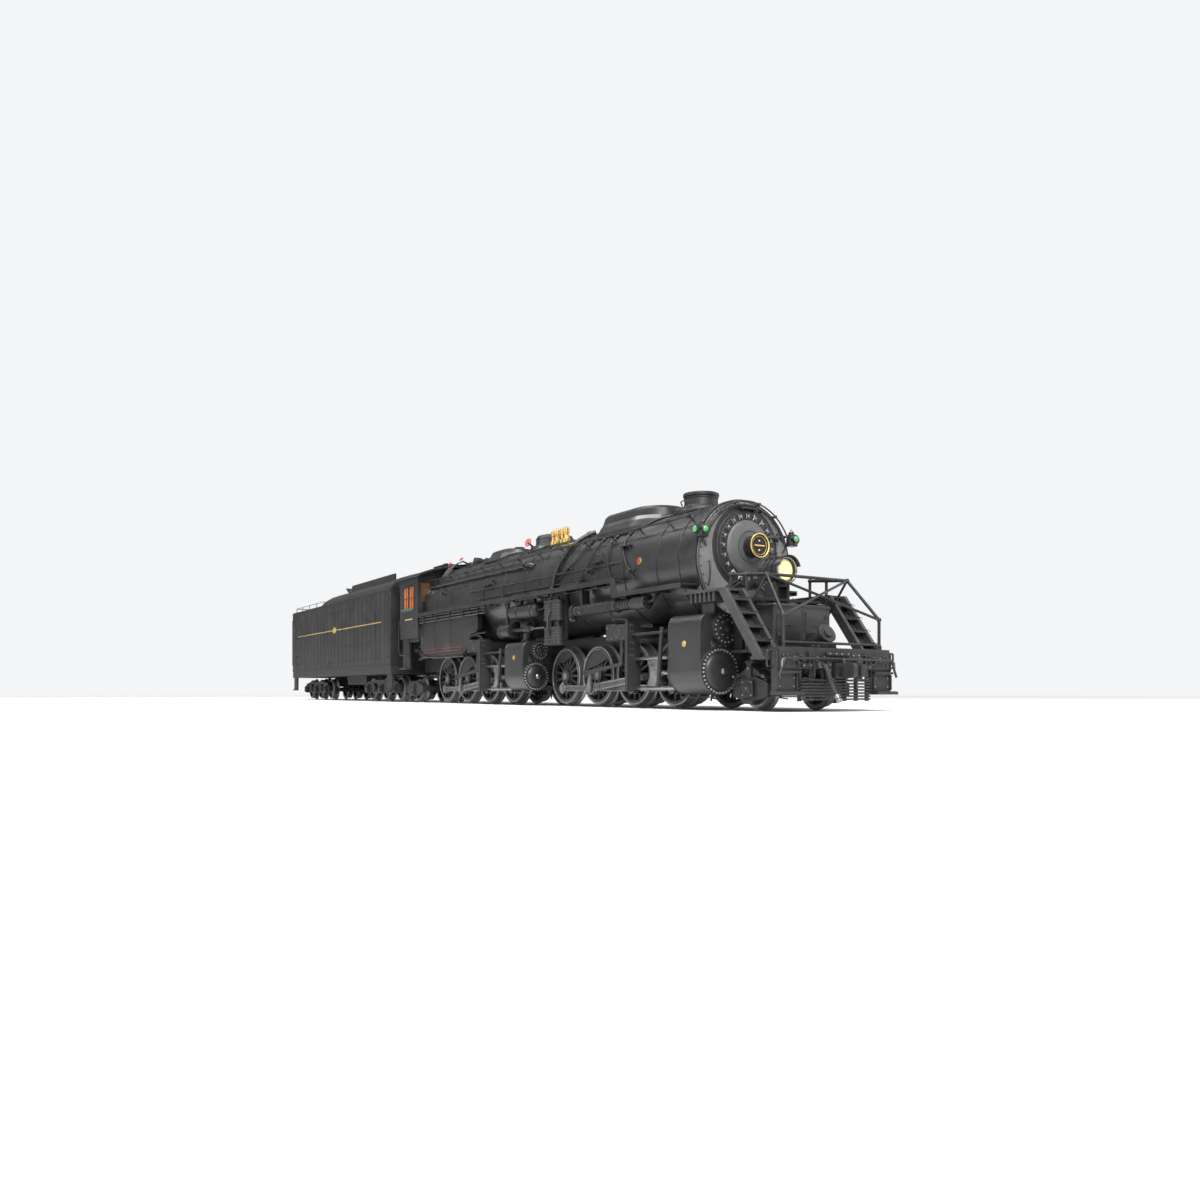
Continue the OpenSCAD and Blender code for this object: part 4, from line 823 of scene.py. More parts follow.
@pair(LOCO, "lamp_black")
def check_valves(add, side):
    base, normal = on_boiler(133, 27, 0.4, side), boiler_normal(27, side)
    add.lathe(base, normal, [(2.4, 0), (2.4, 0.6), (1.4, 0.9), (1.3, 2.6), (1.9, 2.9), (1.9, 3.5),
                             (0.8, 3.8)], 20)
    add.bolts_round(base + normal * 0.55, normal, 1.95, 6, 0.28, 0.3)
    mouth = base + normal * 1.6
    add.tube([mouth, mouth + Vector((6, 0, 0)), on_boiler(142, 27, 0.3, side)], 0.9, 10)
    # small valves: x, angle
    for x, degrees in ((96, 16), (112, -6), (186, 12), (206, 4), (244, -2), (20, 14)):
        base, normal = on_boiler(x, degrees, 0.1, side), boiler_normal(degrees, side)
        add.lathe(base, normal, [(1.3, 0), (1.3, 0.5), (0.7, 0.7), (0.7, 1.9), (1.0, 2.0),
                                 (1.0, 2.6), (0.3, 2.9)], 14)
        add.torus(base + normal * 3.0, normal, 1.1, 0.18, 18, 6)


@pair(LOCO, "satin_black")
def washout_plugs(add, side):
    for x in range(-8, 62, 10):
        for degrees in (20, 44):
            normal = boiler_normal(degrees, side)
            add.lathe(on_boiler(x, degrees, -0.02, side), normal,
                      [(1.5, 0), (1.5, 0.35), (1.1, 0.5), (0.9, 0.5)], 18)
            add.bolt(on_boiler(x, degrees, 0.45, side), normal, 0.6, 0.5, stud=False)


# ================================================================== under the running boards
COOLER_Y, COOLER_Z = 31, 49.6
TANK_Y, TANK_Z = 30, 53.6  # air reservoir axis


@pair(LOCO, "wire_rail")
def feed_pipes_under_boards(add, side):
    # y, drop below the board, rear x, front x, radius
    for y, drop, x0, x1, radius in ((33.0, 1.8, 94, 232, 0.38), (31.8, 2.4, 96, 170, 0.5),
                                    (30.4, 2.9, 184, 234, 0.42)):
        y, z = side * y, BOARD_Z - drop
        add.tube([(x0, y, z), (x1, y, z)], radius)
        for i in range(1, 6):
            x = x0 + (x1 - x0) * i / 6
            add.cyl((x - 0.5, y, z), (x + 0.5, y, z), radius + 0.25, 8)
    y = side * COOLER_Y
    add.pipe([(196, y, COOLER_Z), (192.5, y, COOLER_Z), (191, y, 46.4), (193.5, y, 44.6),
              (197, y, 45.4)], 0.7, 10)
    add.pipe([(262, y, COOLER_Z), (266, y, COOLER_Z), (267, side * 30, 52.0),
              (267, side * 28, 53.6)], 0.8, 10)
    y = side * TANK_Y
    add.pipe([(124, y, TANK_Z), (121, y, TANK_Z), (119.5, y, 56), (119.5, y, BOARD_Z - 1.3)], 0.55)
    add.pipe([(156, y, TANK_Z), (161, y, TANK_Z), (163, y, 56), (163, y, BOARD_Z - 1.3)], 0.55)


@part(LOCO, "graphite_dark")
def pump_details(add):
    pump_x, pump_y = 175, -31
    for dx in (-3.8, 3.8):
        x = pump_x + dx
        for z in (47.25, 42.35, 34.25):
            add.bolts_round((x, pump_y, z - 0.05), UP, 3.75, 10, 0.26, 0.3)
        for z in (49.6, 51.2, 52.8, 54.2):
            add.torus((x, pump_y, z), UP, 3.62, 0.2, 28, 6)
        for z in (36, 37.6, 39.2, 40.4):
            add.torus((x, pump_y, z), UP, 3.72, 0.22, 28, 6)
        add.lathe((x, pump_y, 56.7), UP,
                  [(1.8, 0), (1.8, 0.8), (1.0, 1.2), (0.9, 2.0), (0.4, 2.2)], 16)
    add.cyl((171, -33.2, 51.6), (179, -33.2, 51.6), 0.9, 12)
    add.pipe([(pump_x, -34.6, 38), (pump_x, -35.6, 42), (pump_x, -35.4, 48),
              (pump_x, -34.2, 52)], 0.6)
    # the single cylinder on the left
    for z in (35.6, 38, 40.4, 50.2, 52.6, 55):
        add.torus((pump_x, 31.6, z), UP, 4.5, 0.22, 32, 6)
    add.bolts_round((pump_x, 31.6, 45.5), UP, 4.6, 12, 0.26, 0.3)
    add.pipe([(pump_x, 35.9, 38), (pump_x, 36.2, 43), (pump_x, 35.9, 52)], 0.5)


@pair(LOCO, "satin_black")
def reservoir_bands(add, side):
    y = side * TANK_Y
    for x in (134.6, 150.6):
        add.torus((x, y, TANK_Z), FORWARD, 4.1, 0.35, 36)
    add.rivet_line((128, y, 57.55), (153, y, 57.55), 14, UP, 0.2)
    for x, axis in ((123.9, BACK), (156.1, FORWARD)):
        add.lathe((x, y, TANK_Z), axis, [(0.9, -0.2), (0.9, 0.4), (0.5, 0.7)], 6)
    # cooler fins and bands
    y = side * COOLER_Y
    for i in range(18):
        add.torus((206 + i * 2.5, y, COOLER_Z), FORWARD, 2.72, 0.2, 26, 6)
    for x in (196.4, 237, 252.2, 261.6):
        add.torus((x, y, COOLER_Z), FORWARD, 3.15, 0.4, 30)
    add.bolts_round((262.0, y, COOLER_Z), FORWARD, 2.5, 8, 0.28, 0.35)


@part(LOCO, "rod_steel")
def power_reverse_rod(add):
    add.tube([(147, -30, 43.4), (162, -30, 43.4)], 0.6)
    add.box((145.5, -31.0, 42.2), (149, -29.0, 44.6), 0.3)
    add.bolts_round((112, -30, 43.4), BACK, 3.0, 8, 0.3, 0.35)


@part(LOCO, "lamp_black")
def lubricator_fittings(add):
    add.lathe((116, 33.0, 44), ACROSS, [(1.6, -0.1), (1.6, 0.5), (1.1, 0.9), (0.3, 1.0)], 18)
    for i in range(6):
        x = 111.2 + i * 1.9
        add.pipe([(x, 31.8, 47.4), (x, 31.8, 50), (x + 1, 30.5, 53), (x + 6, 29.6, 57)], 0.22, 6)


# ================================================================== running boards
@pair(LOCO, "satin_black")
def running_board_treads(add, side):
    # first x, columns, first y, row spacing, rows, z
    for x0, columns, y0, step, rows, z in ((-12, 112, 30.3, 1.4, 3, BOARD_Z - 0.02),
                                           (238, 24, 27.6, 1.7, 4, 55.38)):
        for i in range(columns):
            x = x0 + 2.2 * i
            for k in range(rows):
                y = side * (y0 + k * step)
                add.tube([(x, y - 0.35, z), (x + 0.7, y + 0.35, z)], 0.13, 4)
    y, z = side * 34.6, BOARD_Z - 1.2
    add.rivet_line((-12, y, z), (232, y, z), 74, (0, side, 0), 0.2)
    add.rivet_line((240, y, 54.2), (288, y, 54.2), 16, (0, side, 0), 0.2)
    add.box((184, side * 28.4, BOARD_Z), (202, side * 33, BOARD_Z + 1.6), 0.3)
    # climbing loops: x, angle
    step = Vector((5, 0, 0))
    for x, degrees in ((206, 6), (212, 20), (218, 34)):
        foot = on_boiler(x, degrees, 0.4, side)
        out = foot + boiler_normal(degrees, side) * 2.4
        add.tube([foot, out, out + step, foot + step], 0.3, 6)


@pair(LOCO, "satin_black")
def step_boxes(add, side):
    for x, degrees in ((213, 13), (236, 24), (88, 12)):
        foot = on_boiler(x, degrees, 0, side)
        out = foot + boiler_normal(degrees, side) * 2.6
        y0, y1 = sorted((foot.y, out.y))
        add.box((x - 4, y0, out.z - 0.5), (x + 4, y1 + 0.2, out.z + 0.1), 0.12)
        for dx in (-3.4, 3.4):
            add.tube([foot + Vector((dx, 0, -1.6)), out + Vector((dx, 0, -0.4))], 0.25, 6)


# ================================================================== firebox
CASING_Y = 31.0


@pair(LOCO, "boiler_black")
def firebox_staybolts(add, side):
    y = side * CASING_Y
    for i in range(18):
        for k in range(5):
            x, z = -11 + i * 5, 36.5 + k * 4.4
            if x <= 60 or z >= 47:
                add.rivet((x, y, z), (0, side, 0), 0.34, 7)
    add.rivet_line((-14.5, y, 56.4), (75, y, 56.4), 40, (0, side, 0), 0.22)
    for x in (9, 36):
        add.box((x - 0.25, side * 30.9, 33.2), (x + 0.25, side * 31.25, 56.6), 0.1)


@pair(LOCO, "dark_red")
def firebox_line(add, side):
    y = side * 31.06
    for z in (35.0, 37.0):
        add.tube([(-13.4, y, z), (52, y, z)], 0.26, 6)
    for x in (-13.4, 52):
        add.tube([(x, y, 34.9), (x, y, 37.1)], 0.22, 6)


# (x, z) round the casing side
CASING_RIM = [
    (-15.4, 38.4), (-15.4, 56.9), (74.8, 56.9), (77.2, 55.8), (78.0, 53.9), (77.4, 47.6),
    (76.3, 46.0), (74.4, 45.3), (69.8, 45.1), (66.7, 43.2), (61.7, 36.3), (58.8, 33.9),
    (54.9, 32.8), (-9.9, 32.8)]


@pair(LOCO, "wire_rail")
def firebox_pipes(add, side):
    # x, y, z
    route = ((-15, 31.6, 31.6), (40, 31.6, 31.6), (56, 31.6, 31.9), (63, 31.8, 35.4),
             (66, 31.8, 41), (72, 31.4, 44.0), (88, 30.4, 44.4))
    add.pipe([(x, side * y, z) for x, y, z in route], 0.5)
    add.tube([(x, side * 31.02, z) for x, z in CASING_RIM], 0.42, closed=True)


# ================================================================== turret and top fittings
@part(LOCO, "red_paint")
def red_handwheels(add):
    add.handwheel((94, -4, 101.2), (0.2, -0.9, 0.3), 2.4, 0.36, 6)
    add.handwheel((-3, -14.6, 97.6), (0.1, -1, 0.5), 1.5, 0.26)
    add.handwheel((-3, 14.6, 97.6), (0.1, 1, 0.5), 1.5, 0.26)
    add.handwheel((4, -9, 101.0), (0, -0.6, 0.8), 1.5, 0.26)
    add.handwheel((4, 9, 101.0), (0, 0.6, 0.8), 1.5, 0.26)


@part(LOCO, "lamp_black")
def turret(add):
    add.lathe((-6, 0, 96.6), FORWARD,
              [(2.4, 0), (3.3, 0.6), (3.3, 12), (2.4, 12.8), (0.6, 13)], 28)
    for x in (-3, 0.6, 4.2):
        rise = 2.4 if x > 3 else 0
        for side in SIDES:
            add.tube([(x, side * 2.6, 97.6), (x, side * 8.2, 97.2 + rise)], 0.55, 10)
            add.pipe([(x, side * 8.0, 97.0 + rise), (x, side * 13.6, 97.0), (x, side * 17, 92.5),
                      (x + 2, side * 21, 88)], 0.42)
    add.cyl((94, 0, 95.6), (94, 0, 99.2), 1.8, 16)
    add.tube([(94, 0, 98.6), (94, -3.8, 101.0)], 0.6, 10)
    add.box((90.6, -3.2, 95.2), (97.4, 3.2, 96.8), 0.3)
    # small dynamo ahead of the turret
    add.lathe((22, -7.5, 97.6), ACROSS,
              [(1.2, 0), (2.6, 0.5), (2.6, 5), (2.0, 5.4), (2.0, 8.5), (3.0, 8.9), (3.0, 12),
               (1.4, 13), (0.5, 14)], 26)
    add.box((19.6, -4.6, 94.4), (24.4, 4.6, 96.2), 0.3)
    add.pipe([(22, 6.6, 97.6), (22, 12, 97.2), (20, 16, 94), (14, 20, 89.6)], 0.45)
    # whistle stand
    add.cyl((40, 9, 93.4), (40, 9, 97.2), 0.7, 12)


@part(LOCO, "brass")
def whistle(add):
    add.lathe((40, 9, 97.0), UP,
              [(0.8, 0), (1.3, 0.4), (1.3, 0.9), (0.9, 1.1), (1.15, 1.4), (1.15, 4.2), (0.7, 4.6),
               (0.2, 5.0)], 20)


BUILDER_PLATE_X, BUILDER_PLATE_DEGREES = 249, 6


@pair(LOCO, "brass")
def builder_plate(add, side):
    add.lathe(on_boiler(BUILDER_PLATE_X, BUILDER_PLATE_DEGREES, 0.02, side),
              boiler_normal(BUILDER_PLATE_DEGREES, side),
              [(1.75, -0.05), (1.75, 0.35), (1.5, 0.45), (1.2, 0.45)], 28)


@pair(LOCO, "red_paint")
def builder_plate_field(add, side):
    normal = boiler_normal(BUILDER_PLATE_DEGREES, side)
    base = on_boiler(BUILDER_PLATE_X, BUILDER_PLATE_DEGREES, 0.02, side) + normal * 0.3
    add.lathe(base, normal, [(1.15, 0), (1.15, 0.22), (0.9, 0.26)], 24)


# ================================================================== cab
CAB_WINDOWS = ((-43.6, -34.2), (-32.8, -23.4))  # rear x, front x
WINDOW_BOTTOM, WINDOW_TOP = 67, 83


# The side window panes glow amber: painted glow on glass that is no lamp.
@pair(LOCO, "amber_window_glow")
def cab_glass(add, side):
    for x0, x1 in CAB_WINDOWS:
        add.box((x0 + 0.02, side * 32.6, WINDOW_BOTTOM + 0.02),
                (x1 - 0.02, side * 33.1, WINDOW_TOP - 0.02), 0.1)


# The front window panes glow dimly: painted glow on glass that is no lamp.
@pair(LOCO, "dim_window_glow")
def cab_front_glass(add, side):
    add.box((-17.0, side * 24.05, 72.05), (-16.6, side * 31.15, 85.95), 0.1)


@pair(LOCO, "gold_line")
def cab_side_bar(add, side):
    add.box((-40.5, side * 33.5, 59.4), (-26.5, side * 33.8, 60.3), 0.08)


@part(LOCO, "satin_black")
def cab_trim(add):
    for side in SIDES:
        inner, outer = side * 33.55, side * 34.0
        glass, wall = side * 33.1, side * 33.5
        for x0, x1 in CAB_WINDOWS:
            add.box((x0 - 0.7, inner, 66.6), (x0, outer, 83.6), 0.12)
            add.box((x1, inner, 66.6), (x1 + 0.7, outer, 83.6), 0.12)
            add.box((x0 - 0.7, inner, 83.0), (x1 + 0.7, outer, 83.8), 0.12)
            add.box((x0, glass, 74.7), (x1, wall, 75.3), 0.1)
            x = (x0 + x1) / 2
            add.box((x - 0.25, glass, WINDOW_BOTTOM), (x + 0.25, wall, WINDOW_TOP), 0.1)
        add.box((-47, wall, 84.6), (-20, side * 35.4, 85.0), 0.1)
        y, axis = side * 33.6, (0, side, 0)
        for x in (-49.2, -16.9):
            add.rivet_line((x, y, 48), (x, y, 88), 26, axis, 0.22)
        for z in (47, 64.2):
            add.rivet_line((-48, y, z), (-18, y, z), 20, axis, 0.22)
        # empty panel frame, roof edge rail, rear grab iron, front window hood
        y = side * 33.65
        add.tube([(-44, y, 52), (-23, y, 52), (-23, y, 61), (-44, y, 61)], 0.16, 6, closed=True)
        add.tube([(-59.6, side * 35.1, 89.4), (-8.4, side * 35.1, 89.4)], 0.4)
        y = side * 32.8
        add.pipe([(-50.2, y, 50), (-51.8, y, 50.6), (-51.8, y, 78), (-50.2, y, 78.6)], 0.4,
                 rounds=1)
        add.box((-15.95, side * 23.6, 86.1), (-14.6, side * 31.6, 86.5), 0.1)
    # roof ribs, hatch bars and hatch handles
    for x in (-59.6, -47, -13, -8.6):
        add.tube([clock(x, 12.3, 85.7, a) for a in range(-24, 25, 2)], 0.32, 6)
    for x in (-33, -25, -17):
        add.tube([(x, -12.4, 99.7), (x, 12.4, 99.7)], 0.3, 6)
    for y in (-9, 9):
        add.pipe([(-30, y, 99.5), (-30, y, 101), (-20, y, 101), (-20, y, 99.5)], 0.28)


@pair(LOCO, "cushion_green")
def cab_armrests(add, side):
    add.lathe((-45, side * 34.6, 66.7), FORWARD,
              [(0.3, 0), (0.85, 0.5), (0.95, 3), (0.95, 19.5), (0.85, 22.2), (0.3, 22.8)], 16)
    # seat, its back, and a second cushion
    y0, y1 = side * 21, side * 31.5
    add.box((-43.5, y0, 58.0), (-25, y1, 60.2), 0.9)
    # on the right the back is only as wide as its frame reaches
    low, high = sorted((side * 20.8, side * 23.2))[0], max(side * 20.8, y1)
    add.box((-43.5, low, 60), (-41.3, high, 70), 0.8)
    add.box((-43.5, y0, 60.4), (-25, y1, 62.6), 0.9)


@part(LOCO, "graphite_dark")
def backhead(add):
    add.lathe((-19.05, 0, BOILER_Z), BACK, [(28.0, 0), (28.0, 0.4), (27.2, 0.9), (20, 1.1)], 64)
    for degrees in range(0, 360, 10):
        add.rivet(clock(-20.1, BOILER_Z, 25.6, degrees), BACK, 0.4)
    add.box((-22.2, -5.5, 52), (-19.9, 5.5, 60), 0.8)
    add.tube([(-22.3, 5.2, 53), (-22.3, 5.2, 59.2)], 0.6)
    for y in (-9, 0, 9, 15, -15):
        add.pipe([(-20.2, y, 70), (-22.4, y, 70), (-22.8, y * 1.1, 76), (-22.8, y * 1.3, 82),
                  (-20, y * 1.25, 88)], 0.5)
    add.tube([(-21, 2, 74), (-26, 9, 75), (-30, 12, 75.5)], 0.6)
    add.box((-20.4, -29, 60), (-17.5, 29, 61.2), 0.2)


# y, z, radius
GAUGES = ((-4.6, 84.2, 2.0), (0.4, 85.4, 2.4), (5.4, 84.2, 2.0), (-17, 72, 1.6), (16, 73, 1.6))


@part(LOCO, "brass")
def gauge_rims(add):
    for y, z, r in GAUGES:
        add.lathe((-20.3, y, z), BACK, [(r, -0.5), (r, 1.2), (r - 0.35, 1.3), (r - 0.45, 1.0)], 28)
    for z in (64, 67, 70):
        add.cyl((-20.3, -12, z), (-22.8, -12, z), 0.45, 10)


# The faces give off a faint painted glow, though they are no lamp.
@part(LOCO, "gauge_face_glow")
def gauge_faces(add):
    for y, z, r in GAUGES:
        add.lathe((-21.2, y, z), BACK, [(r - 0.4, 0), (r - 0.4, 0.12), (r - 0.5, 0.16)], 24)


@part(LOCO, "fire")
def firehole_glow(add):
    add.box((-22.35, -3.6, 53.4), (-22.15, 3.6, 58.6), 0.08)


@pair(LOCO, "red_paint")
def cab_controls(add, side):
    add.handwheel((-23.6, side * 8, 66), BACK, 1.8, 0.25)


@pair(LOCO, "wire_rail")
def cab_underside_pipes(add, side):
    add.pipe([(-49, side * 27, 42.8), (-30, side * 27, 41.5), (-20, side * 28, 38),
              (-16, side * 32.2, 34.5), (2, side * 32.2, 30.9), (60, side * 32.2, 30.7)], 0.6)
    add.pipe([(-47, side * 24, 42.6), (-36, side * 24, 36), (-28, side * 24.5, 32.6),
              (-18, side * 29.8, 30.8)], 0.8, 10)


@pair(LOCO, "lamp_black")
def injector(add, side):
    y = side * 24
    add.lathe((-44, y, 38.5), FORWARD,
              [(0.8, 0), (1.6, 0.6), (1.6, 4), (2.3, 4.4), (2.3, 6.4), (1.4, 7), (1.4, 11),
               (1.9, 11.3), (1.9, 12.6), (0.7, 13)], 20)
    add.pipe([(-37, y, 39), (-37, y, 41), (-38, y, 43.4)], 0.8, rounds=1)
    # ridges on the cab steps, and the grab iron above them
    for z in (25.3, 35.1):
        for i in range(5):
            x = -49.4 + i * 2.4
            add.tube([(x, side * 30.6, z), (x + 1.2, side * 33.9, z)], 0.14, 5)
    y = side * 34.2
    add.pipe([(-50.2, y, 36), (-51.4, y, 37), (-51.4, y, 58), (-50.2, side * 33.7, 59)], 0.38,
             rounds=1)


# ================================================================== cylinders, both engines
def cylinder_details(body, x0, r, valve_z, valve_r, top, prefix):
    """Fittings of a cylinder pair; x0 is the engine's first axle, r and valve_r the radii."""
    y, valve_y = -26.8, -24.8
    valve_bottom = valve_z - valve_r
    outside = y - r

    @part(body, "bolt_metal", prefix, mirror=True)
    def cover_studs(add):
        add.bolts_round((x0 + 41.55, y, AXLE_Z), FORWARD, r - 0.62, 34 if r > 9 else 28, 0.52, 0.62)
        add.bolts_round((x0 + 42.95, valve_y, valve_z), FORWARD, valve_r - 0.45, 18, 0.42, 0.5)
        add.bolts_round((x0 + 43.85, valve_y, valve_z), FORWARD, valve_r - 2.4, 8, 0.36, 0.4)

    @part(body, "graphite_dark", prefix, mirror=True)
    def cover_bolts(add):
        add.torus((x0 + 41.6, y, AXLE_Z), FORWARD, r - 1.35, 0.22, 56)
        add.torus((x0 + 43.0, valve_y, valve_z), FORWARD, valve_r - 1.1, 0.2, 40)
        add.lathe((x0 + 43.85, valve_y, valve_z), FORWARD,
                  [(1.2, -0.1), (1.2, 0.5), (0.7, 0.8), (0.6, 0.8)], 20)
        add.bolts_round((x0 + 16.65, y, AXLE_Z), BACK, r - 1.4, 18, 0.36, 0.35)
        # casting web between valve chest and cylinder
        x = x0 + 40.3
        add.box((x, y + 3.0, AXLE_Z + r - 0.4), (x0 + 41.4, valve_y + 9.6, valve_bottom + 1.2), 0.3)
        add.box((x, y - 4.6, AXLE_Z + r - 0.6), (x0 + 41.5, y + 4.0, valve_bottom + 0.9), 0.3)
        for dy in (-3.4, 0, 3.0):
            add.bolt((x0 + 41.45, y + dy, (AXLE_Z + r + valve_bottom) / 2), FORWARD, 0.42, 0.4)
        # drain cocks and their rod
        z = AXLE_Z - r
        for x in (x0 + 21, x0 + 37):
            add.cyl((x, y, z + 0.2), (x, y, z - 1.9), 0.5, 10)
            add.pipe([(x, y, z - 1.6), (x + 2.6, y, z - 1.9), (x + 4, y - 1, z - 2.2)], 0.32,
                     rounds=1)
        add.tube([(x0 + 16, y - 1.6, z - 1.1), (x0 + 40, y - 1.6, z - 1.1)], 0.26)

    @part(body, "satin_black", prefix, mirror=True)
    def jacket_trim(add):
        corner = 5
        outline = [(y - dy, AXLE_Z + dz) for dy, dz in [polar(r, a) for a in range(-100, 1, 8)]]
        outline.append((outside, top - corner))
        outline += [(outside + corner - dy, top - corner + dz)
                    for dy, dz in [polar(corner, a) for a in range(12, 91, 13)]]
        outline.append((-26.4, top))
        for x in (x0 + 18.4, x0 + 40.1):
            points = [(x, *place) for place in outline]
            add.tube(points, 0.3)
            for point in points[:-1:2]:
                add.rivet(point, (0, point[1] + 22, point[2] - (AXLE_Z + 10)), 0.2, 6)
        for i in range(14):
            for x in (x0 + 19.6, x0 + 38.9):
                add.rivet((x, outside, AXLE_Z + 1 + i * (top - 6 - AXLE_Z) / 13), (0, -1, 0), 0.2, 6)

    @part(body, "bright_steel", prefix, mirror=True)
    def glands(add):
        add.lathe((x0 + 16.7, y, AXLE_Z), BACK,
                  [(2.8, -0.1), (2.8, 0.7), (2.0, 0.9), (1.9, 1.8), (1.35, 2.0)], 24)
        add.lathe((x0 + 44.1, y, AXLE_Z), FORWARD,
                  [(1.5, -0.1), (1.5, 0.35), (0.9, 0.7), (0.1, 0.85)], 20)
        for dz in (2.3, -2.3):
            add.bolt((x0 + 15.9, y, AXLE_Z + dz), BACK, 0.35, 0.5)
        # rubbing strips on the guide bars: outer y, inner y, low z, high z
        for y0, y1, z0, z1 in ((-28.9, -26.0, -6.28, -6.14), (-29.1, -28.98, -7.6, -6.4),
                               (-29.1, -28.98, 6.3, 7.6)):
            add.box((x0 - 18.4, y0, AXLE_Z + z0), (x0 + 16.2, y1, AXLE_Z + z1), 0.04)

    @pair(body, "brass", prefix)
    def cylinder_plate(add, side):
        x, z = x0 + 29.5, top - (12.5 if r > 9 else 9)
        edge, axis = -side * (outside + 0.02), (0, side, 0)
        add.lathe((x, edge, z), axis, [(1.35, -0.05), (1.35, 0.25), (1.1, 0.32), (0.95, 0.2)], 26)
        add.lathe((x, edge + side * 0.1, z), axis, [(0.5, 0), (0.5, 0.25), (0.2, 0.32)], 18)


# each piece of a set is named after the tag and "cylinder", so the last one, the plate, carries the
# word "cylinder" twice
def cylinder_set(body, axle_x, tag, **sizes):
    cylinder_details(body, axle_x, prefix=tag + "_cylinder_", **sizes)


cylinder_set(FRONT, FRONT_AXLE.x, "front", r=9.8, valve_z=34.6, valve_r=6.2, top=41.0)
for old in ("front_cylinder_cylinder_plate",):
    pass
cylinder_set(LOCO, REAR_AXLE.x, "rear", r=7.9, valve_z=31.2, valve_r=4.8, top=36.4)


# ================================================================== motion, springs and brakes
def motion_details(body, x0, valve_z, prefix):
    yoke_x = x0 - 20.6
    outward = (0, -1, 0)

    @part(body, "graphite_dark", prefix, mirror=True)
    def motion_bolts(add):
        for z in (9.0, 25.2, 28, 31, 36.4, 39.4):
            for y in (-31.8, -30.2):
                add.bolt((yoke_x, y, z), BACK, 0.4, 0.4)
                add.bolt((yoke_x + 2, y, z), FORWARD, 0.4, 0.4)
        for dx in (-15.6, -11, -6, -1.6):
            for z in (33.6, 38.8):
                add.bolt((yoke_x + dx, -33.2, z), outward, 0.38, 0.35)
        add.bolts_round((x0 - 27.6, -33.15, 36), outward, 1.7, 8, 0.24, 0.28)
        add.lathe((x0 - 27.6, -33.1, 36), outward,
                  [(2.3, 0), (2.3, 0.25), (1.2, 0.5), (1.1, 0.5)], 24)
        # oil cups on the guide bars
        for dx in (-14, -4, 6, 14):
            add.lathe((x0 + dx, -27.4, AXLE_Z + 7.65), UP,
                      [(0.6, 0), (0.6, 0.5), (0.3, 0.6), (0.3, 0.9), (0.45, 1.0), (0.2, 1.15)], 10)
        # combination lever, radius rod and link pins
        add.bolt((x0 + 6.6, -32.0, valve_z + 0.4), outward, 0.75, 0.5)
        add.bolt((x0 + 3.5, -32.25, 11), outward, 0.7, 0.4)
        add.bolt((x0 - 26.8, -31.0, 21.8), outward, 0.7, 0.5)
        for i, dx in enumerate((-26.4, -25.4, -25.4, -26.4)):
            add.bolt((x0 + dx, -31.0, 23.4 + i * 4.2), outward, 0.3, 0.3)
        # lifting arm over the link
        add.pipe([(x0 - 25, -30.4, 38), (x0 - 22, -30.4, 41.5), (x0 - 28, -30.2, 43.2),
                  (x0 - 36, -30, 43.2)], 0.7, rounds=1)
        add.box((yoke_x - 17, -33.1, 39.9), (yoke_x - 10, -27.8, 40.6), 0.2)

    @part(body, "weathered_black", prefix, mirror=True)
    def spring_gear(add):
        for i in range(4):
            x = x0 - i * PITCH
            add.leaf_spring(x, -12.2, 26.2, half=12.5, shorter=2.1, step=0.62, droop=1.5,
                            radius=0.42, sides=5)
            add.box((x - 1.3, -13.2, 24.6), (x + 1.3, -11.4, 30.2), 0.2)
            if i < 3:
                middle = x - PITCH / 2
                add.tube([(middle - 4, -12.2, 24.2), (middle + 4, -12.2, 24.2)], 0.7)
                add.tube([(middle, -10.7, 24.2), (middle, -12.9, 24.2)], 0.8, 10)

    @part(body, "weathered_black", prefix, mirror=True)
    def brake_gear(add):
        # shoes just clear of the treads, then the pull rod and its links
        for i in range(3):
            x = x0 - i * PITCH
            add.prism(arc(x, AXLE_Z, 17.0, range(166, 201, 4))
                      + arc(x, AXLE_Z, 15.62, range(200, 165, -4)), -19.0, -16.2)
            x -= 16.7
            add.tube([(x, -12.8, 13.2), (x, -12.0, 26.5)], 0.55)
            add.tube([(x, -18.4, 13.4), (x, -11.0, 13.4)], 0.55)
        add.tube([(x0 - 15, -12.0, 6.6), (x0 - 3 * PITCH + 14, -12.0, 6.6)], 0.5)
        for i in range(3):
            x = x0 - i * PITCH - 16.7
            add.tube([(x, -12.6, 13.4), (x, -12.0, 6.6)], 0.5)
            add.tube([(x, 0, 6.6), (x, -12.2, 6.6)], 0.5)

    @part(body, "wire_rail", prefix, mirror=True)
    def sand_pipes_low(add):
        for i in (1, 2):
            x = x0 - i * PITCH + 16.65
            add.pipe([(x + 0.2, -13.2, 30), (x + 0.2, -13.6, 20), (x - 0.4, -16.6, 8.4),
                      (x - 2.0, -17.2, 3.2)], 0.42)


motion_details(FRONT, FRONT_AXLE.x, valve_z=34.6, prefix="front_")
motion_details(LOCO, REAR_AXLE.x, valve_z=31.2, prefix="rear_")


@pair(LOCO, "satin_black")
def rear_steam_pipes(add, side):
    add.pipe([(132, side * 21.5, 46.5), (132, side * 23.8, 43.5), (132, side * 24.4, 40),
              (132, side * 24.6, 35.6)], 3.1, 20)
    add.torus((132, side * 24.5, 37.2), UP, 3.6, 0.5, 32)
    add.bolts_round((132, side * 24.5, 37.5), UP, 3.6, 8, 0.3, 0.4)


# ================================================================== pilot and beam
BEAM_X = 349.0  # front face of the beam
DECK_Z = 25.45


